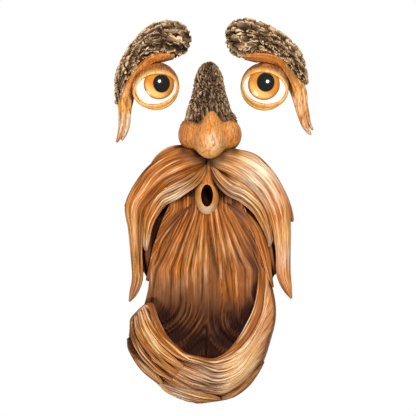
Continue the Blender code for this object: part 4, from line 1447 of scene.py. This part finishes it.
@dataclass
class EyeCasting(Casting):
    """Brow, strip of wood with its tail, lids and eyeball, carved as one."""

    drawing: EyeDrawing | None = None
    housing: float = 24.3
    housing_depth: float = 21.0
    ball_radius: float = 27.0
    ball_front: float = 36.0
    ball_drop: float = 1.0
    lid_rise: float = 3.0
    lid_width: float = 3.3

    def glass(self) -> GlassEye:
        """The paint of the eyeball."""
        drawing = self.drawing
        return GlassEye(self.node + "_glass", drawing.at(drawing.iris), drawing.iris_radius,
                        drawing.at(drawing.pupil), drawing.pupil_radius)

    def ball_depth(self, x: np.ndarray, z: np.ndarray) -> np.ndarray:
        """How far the eyeball stands from the tree at a point relative to the eye's centre."""
        reach = self.ball_radius**2 - x**2 - (z + self.ball_drop) ** 2
        return self.ball_front - self.ball_radius + np.sqrt(np.maximum(reach, 1.0))

    def lid_knots(self, turn: np.ndarray, upper: np.ndarray) -> np.ndarray:
        """Rings from under the ball over the lid, the fold and the housing to the tree.

        Args:
            turn: Angles round the eye.
            upper: 1 over the upper lid and 0 at the lower one, at each angle.

        Returns:
            Rings by angles by (x, depth, z), relative to the eye's centre.
        """
        side, up = np.cos(turn), np.sin(turn)
        x0, z0, half_width, half_height = self.drawing.opening
        corner = np.abs(side) ** 6
        lift = self.lid_rise * (1.0 - 0.55 * corner) * (0.72 + 0.28 * upper)
        over = self.lid_width * (1.0 - 0.5 * corner)
        knots = []
        for grow_x, grow_z, rise in (
                (-6.0, -6.0, -5.0), (-0.6, -0.8, -0.8), (0.1, 0.2 * over, 0.55 * lift),
                (0.9, 0.5 * over, lift), (1.8, 0.95 * over, 0.95 * lift),
                (2.5, 1.35 * over, 0.50 * lift - 0.3 * upper)):
            x = x0 + (half_width + grow_x) * side
            z = z0 + (half_height + grow_z) * up + self.drawing.lid_tilt * x
            knots.append(np.stack([x, self.ball_depth(x, z) + rise, z], axis=1))
        rim = knots[-1]
        edge = np.stack([self.housing * side, np.full(len(turn), self.housing_depth),
                         self.housing * up], axis=1)
        for part, rise in ((0.4, 1.1), (0.75, 1.6)):
            knot = rim * (1.0 - part) + edge * part
            knot[:, 1] = self.ball_depth(knot[:, 0], knot[:, 2]) + rise + 0.8 * upper
            knots.append(knot)
        foot = edge * (1.0, 0.0, 1.0) - (0.0, OVERCUT, 0.0)
        return np.stack(knots + [edge, edge * (1.0, 0.45, 1.0), foot])

    def lids(self) -> Form:
        """Upper and lower lid with the housing round them.

        Round the eye, every section is a smooth curve: from under the ball to the opening's
        edge, over the lid's rounded rim, down into the fold behind it, over the housing's
        shoulder and down its side to the tree.

        Returns:
            The closed form.
        """
        turn = np.linspace(0.0, 2.0 * math.pi, 220, endpoint=False)
        upper = step(-0.25, 0.35, np.sin(turn))
        grid = self.lid_knots(turn, upper)
        place = np.linspace(0.0, len(grid) - 1.0, 12 * (len(grid) - 1))
        span = np.clip(place.astype(int), 0, len(grid) - 2)
        points = through(grid, span, (place - span)[:, None, None])
        row = place[:, None]
        high = upper[None, :]
        tint = np.broadcast_to(Tone.GOLD() * (1.15, 1.1, 1.0), points.shape)
        # Painted shade: darker on the upper fold and housing under the brow, a dark line in the
        # fold and dark where the lid meets the ball. Cream paint on the lid's rim, brown down the
        # housing's side
        for tone, share in (
                (0.72 * Tone.UMBER(), step(5.0, 6.0, row) * high),
                (Tone.UMBER(), np.exp(-((row - 5.6) / 0.7) ** 2) * high * 0.8),
                (Tone.CREAM(), np.exp(-((row - 3.3) / 1.1) ** 2) * (0.5 + 0.1 * high) * 0.45),
                (Tone.UMBER(), step(2.3, 1.8, row) * 0.8),
                (Tone.BROWN(), step(8.0, 9.3, row) * 0.8)):
            tint = dab(tint, tone, share)
        shape = points.shape[:2]
        across = np.broadcast_to(row * 3.0, shape)
        along = np.broadcast_to(turn[None, :] * self.housing, shape)
        return Form(self.placed(points), tint, np.full(shape, 0.8), across, along, Finish.SKIN,
                    grain=0.4)

    def placed(self, points: np.ndarray) -> np.ndarray:
        """Points given from the eye's centre, in the drawing's own place."""
        return points + (self.drawing.centre[0], 0.0, self.drawing.centre[1])

    def ball(self) -> Form:
        """The eyeball, squeezed to fit inside the housing.

        Returns:
            The closed form.
        """
        cx, cz = self.drawing.centre
        radius = self.ball_radius
        form = ball_form((cx, self.ball_front - radius, cz - self.ball_drop), (radius,) * 3,
                         Tone.CREAM, Finish.BALL, rounds=64)
        points = form.points - (cx, 0.0, cz)
        away = np.hypot(points[..., 0], points[..., 2])
        keep = np.minimum(1.0, (self.housing - 2.3) / np.maximum(away, 1e-6))
        form.points = self.placed(points * np.stack([keep, np.ones_like(keep), keep], axis=-1))
        form.points[..., 1] = np.maximum(form.points[..., 1], -OVERCUT)
        return form

    def forms(self) -> list[Form]:
        """All forms of the casting.

        Returns:
            Lids and ball, the strip with its prong, then the brow.
        """
        drawing = self.drawing
        seed = 31.3 + drawing.centre[0] / 8.0
        locks = (
            Lock(drawing.strip, drawing.strip_tones, seed + 1.0, Finish.SKIN, carve=2.6,
                 bundle=4.6, pace=1.8),
            Lock(drawing.prong, drawing.prong_tones, seed + 2.0, Finish.SKIN, carve=1.4,
                 bundle=3.4, pace=1.8),
            Lock(drawing.brow, (Tone.BARK, Tone.BARK), seed, Finish.BARK, carve=4.6, fine=0.55,
                 pace=0.6, lift=1.2))
        return [self.lids(), self.ball()] + [lock.form(drawing.centre) for lock in locks]


LEFT = EyeDrawing(
    centre=(-52.0, 123.0), keyhole=(4.0, 20.0),
    brow=((-40, -18, 4, 4, 5), (-38, -3, 6, 9, 8), (-35, 9, 9, 14, 12), (-28, 21, 13, 19, 17),
          (-18, 33, 16, 24, 22), (-6, 43, 17, 29, 25), (6, 48, 17, 35, 27),
          (16, 47.5, 16, 37, 26), (24, 46, 13, 32, 20), (29, 45, 9, 20, 9)),
    strip=((18, 31, 16, 8, 15), (8, 31, 17, 13, 18), (-4, 28, 16, 14, 18), (-14, 20, 13, 15, 16),
           (-23, 9, 9, 16, 13), (-29, -4, 6, 17, 10), (-32, -16, 5, 17, 9), (-33, -27, 5, 13, 8),
           (-34, -38, 5, 11, 7), (-37, -48, 5, 7, 6), (-41, -57, 5, 2, 3)),
    prong=((-29, -28, 4, 6, 7), (-30, -40, 4, 6, 7), (-33, -49, 4, 5, 5), (-36, -55, 4, 2, 2)),
    iris=(2.8, 1.0), iris_radius=15.3, pupil=(5.5, 1.7), pupil_radius=8.6,
    opening=(-0.2, -3.6, 21.6, 14.9), lid_tilt=0.10,
    strip_tones=(Tone.BROWN, Tone.AMBER, Tone.AMBER, Tone.AMBER, Tone.TAN, Tone.GOLD, Tone.CREAM,
                 Tone.AMBER),
    prong_tones=(Tone.CREAM, Tone.CREAM, Tone.GREYED),
)
RIGHT = EyeDrawing(
    centre=(56.5, 122.5), keyhole=(-4.5, 20.5),
    brow=((42, 3, 4, 4, 5), (39, 10, 6, 9, 8), (34, 19, 10, 15, 13), (27, 31, 14, 20, 18),
          (16, 40, 16, 24, 22), (4, 46, 17, 28, 25), (-9, 49, 17, 35, 27), (-19, 49, 16, 40, 26),
          (-28, 48.5, 13, 35, 20), (-34, 48, 9, 22, 9)),
    strip=((-20, 31, 16, 8, 15), (-9, 31, 17, 13, 18), (4, 30, 16, 15, 18), (15, 26, 13, 15, 16),
           (23, 16, 9, 15, 13), (30, 5, 6, 17, 10), (35, -7, 5, 17, 9), (37, -19, 5, 14, 8),
           (39, -31, 5, 10, 7), (42, -41, 5, 7, 6), (47, -49, 5, 2, 3)),
    prong=((40, -14, 4, 6, 7), (43, -26, 4, 5, 7), (45, -36, 4, 4, 5), (49, -44, 4, 2, 2)),
    iris=(-0.5, 1.5), iris_radius=16.0, pupil=(1.3, 3.5), pupil_radius=9.0,
    opening=(0.0, -2.0, 21.6, 15.6), lid_tilt=-0.10,
    strip_tones=(Tone.BROWN, Tone.AMBER, Tone.AMBER, Tone.TAN, Tone.GOLD, Tone.PALE, Tone.TAN,
                 Tone.CREAM),
    prong_tones=(Tone.BROWN, Tone.TAN, Tone.CREAM),
)


@dataclass
class Studio:
    """A pale floor far below, a white surround, soft lamps and the camera."""

    frame_width: float = 0.416
    distance: float = 6.0
    aim_depth: float = 0.040
    sensor: float = 36.0
    floor_height: float = -1.2
    floor_half: float = 6.0
    surround: float = 0.50
    glow: tuple[float, float] = (0.90, 0.98)
    lamps: tuple = (("key_lamp", (0.45, -1.6, 0.9), 0.36, 29.0),
                    ("fill_lamp", (-1.3, -1.3, -0.9), 1.0, 21.0))

    def floor(self) -> None:
        """A plain pale floor, not part of the object."""
        mesh = bpy.data.meshes.new("floor")
        mesh.from_pydata([(self.floor_half * x, self.floor_half * y, self.floor_height)
                          for x, y in ((-1, -1), (1, -1), (1, 1), (-1, 1))], [], [(0, 1, 2, 3)])
        book = NodeBook("pale_floor")
        mesh.materials.append(book.finish({"Base Color": (0.9, 0.9, 0.9), "Roughness": 0.8}))
        added("floor", mesh)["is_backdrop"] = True

    def world(self) -> None:
        """A soft surround of light, brightest straight behind the object."""
        world = bpy.data.worlds.new("studio")
        bpy.context.scene.world = world
        world.use_nodes = True
        tree = world.node_tree
        tree.nodes.clear()
        where, split, spot, sky, output = (tree.nodes.new("ShaderNode" + kind) for kind in (
            "TexCoord", "SeparateXYZ", "MapRange", "Background", "OutputWorld"))
        spot.interpolation_type = "SMOOTHSTEP"
        for name, value in zip(("From Min", "From Max", "To Min", "To Max"),
                               (*self.glow, self.surround, 1.0)):
            spot.inputs[name].default_value = value
        sky.inputs["Color"].default_value = (1.0, 1.0, 1.0, 1.0)
        for source, target in ((where.outputs["Object"], split.inputs[0]),
                               (split.outputs["Y"], spot.inputs["Value"]),
                               (spot.outputs[0], sky.inputs["Strength"]),
                               (sky.outputs[0], output.inputs[0])):
            tree.links.new(source, target)

    def lamp(self, name: str, place: tuple[float, float, float], size: float,
             power: float) -> None:
        """A round soft lamp aimed at the face.

        Args:
            name: Name of the lamp.
            place: Where it stands, in metres.
            size: Its diameter in metres.
            power: Its power in watts.
        """
        light = bpy.data.lights.new(name, "AREA")
        light.shape = "DISK"
        light.size = size
        light.energy = power
        item = added(name, light)
        item.location = place
        item.rotation_euler = (math.atan2(math.hypot(place[0], place[1]), place[2]), 0.0,
                               math.atan2(place[0], -place[1]))

    def camera(self) -> None:
        """The camera straight in front, one millimetre to a pixel of the square frame."""
        data = bpy.data.cameras.new("camera")
        data.sensor_width = self.sensor
        data.lens = self.sensor * (self.distance - self.aim_depth) / self.frame_width
        data.clip_start, data.clip_end = 0.1, 40.0
        item = added("camera", data)
        item.location = (0.0, -self.distance, 0.0)
        item.rotation_euler = (math.pi / 2, 0.0, 0.0)
        bpy.context.scene.camera = item

    def build(self) -> None:
        """Sets up the whole studio."""
        self.floor()
        self.world()
        for lamp in self.lamps:
            self.lamp(*lamp)
        self.camera()
        view = bpy.context.scene.view_settings
        view.view_transform = "Standard"
        view.look = "None"


def corners() -> list[list[float]]:
    """The shown object's box as plain lists."""
    return [[float(value) for value in corner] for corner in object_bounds()]


def main() -> None:
    """Builds the castings and the studio."""
    logging.basicConfig(level=logging.INFO, format="%(message)s")
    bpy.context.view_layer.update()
    Paintbox.fill(None)
    BeardCasting().build()
    for node, drawing in (("left_eye", LEFT), ("right_eye", RIGHT)):
        eye = EyeCasting(node, "eye_resin", drawing.at(drawing.keyhole), drawing=drawing)
        Paintbox.fill(eye.glass().material())
        eye.build()
    Studio().build()


if __name__ == "__main__":
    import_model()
    main()
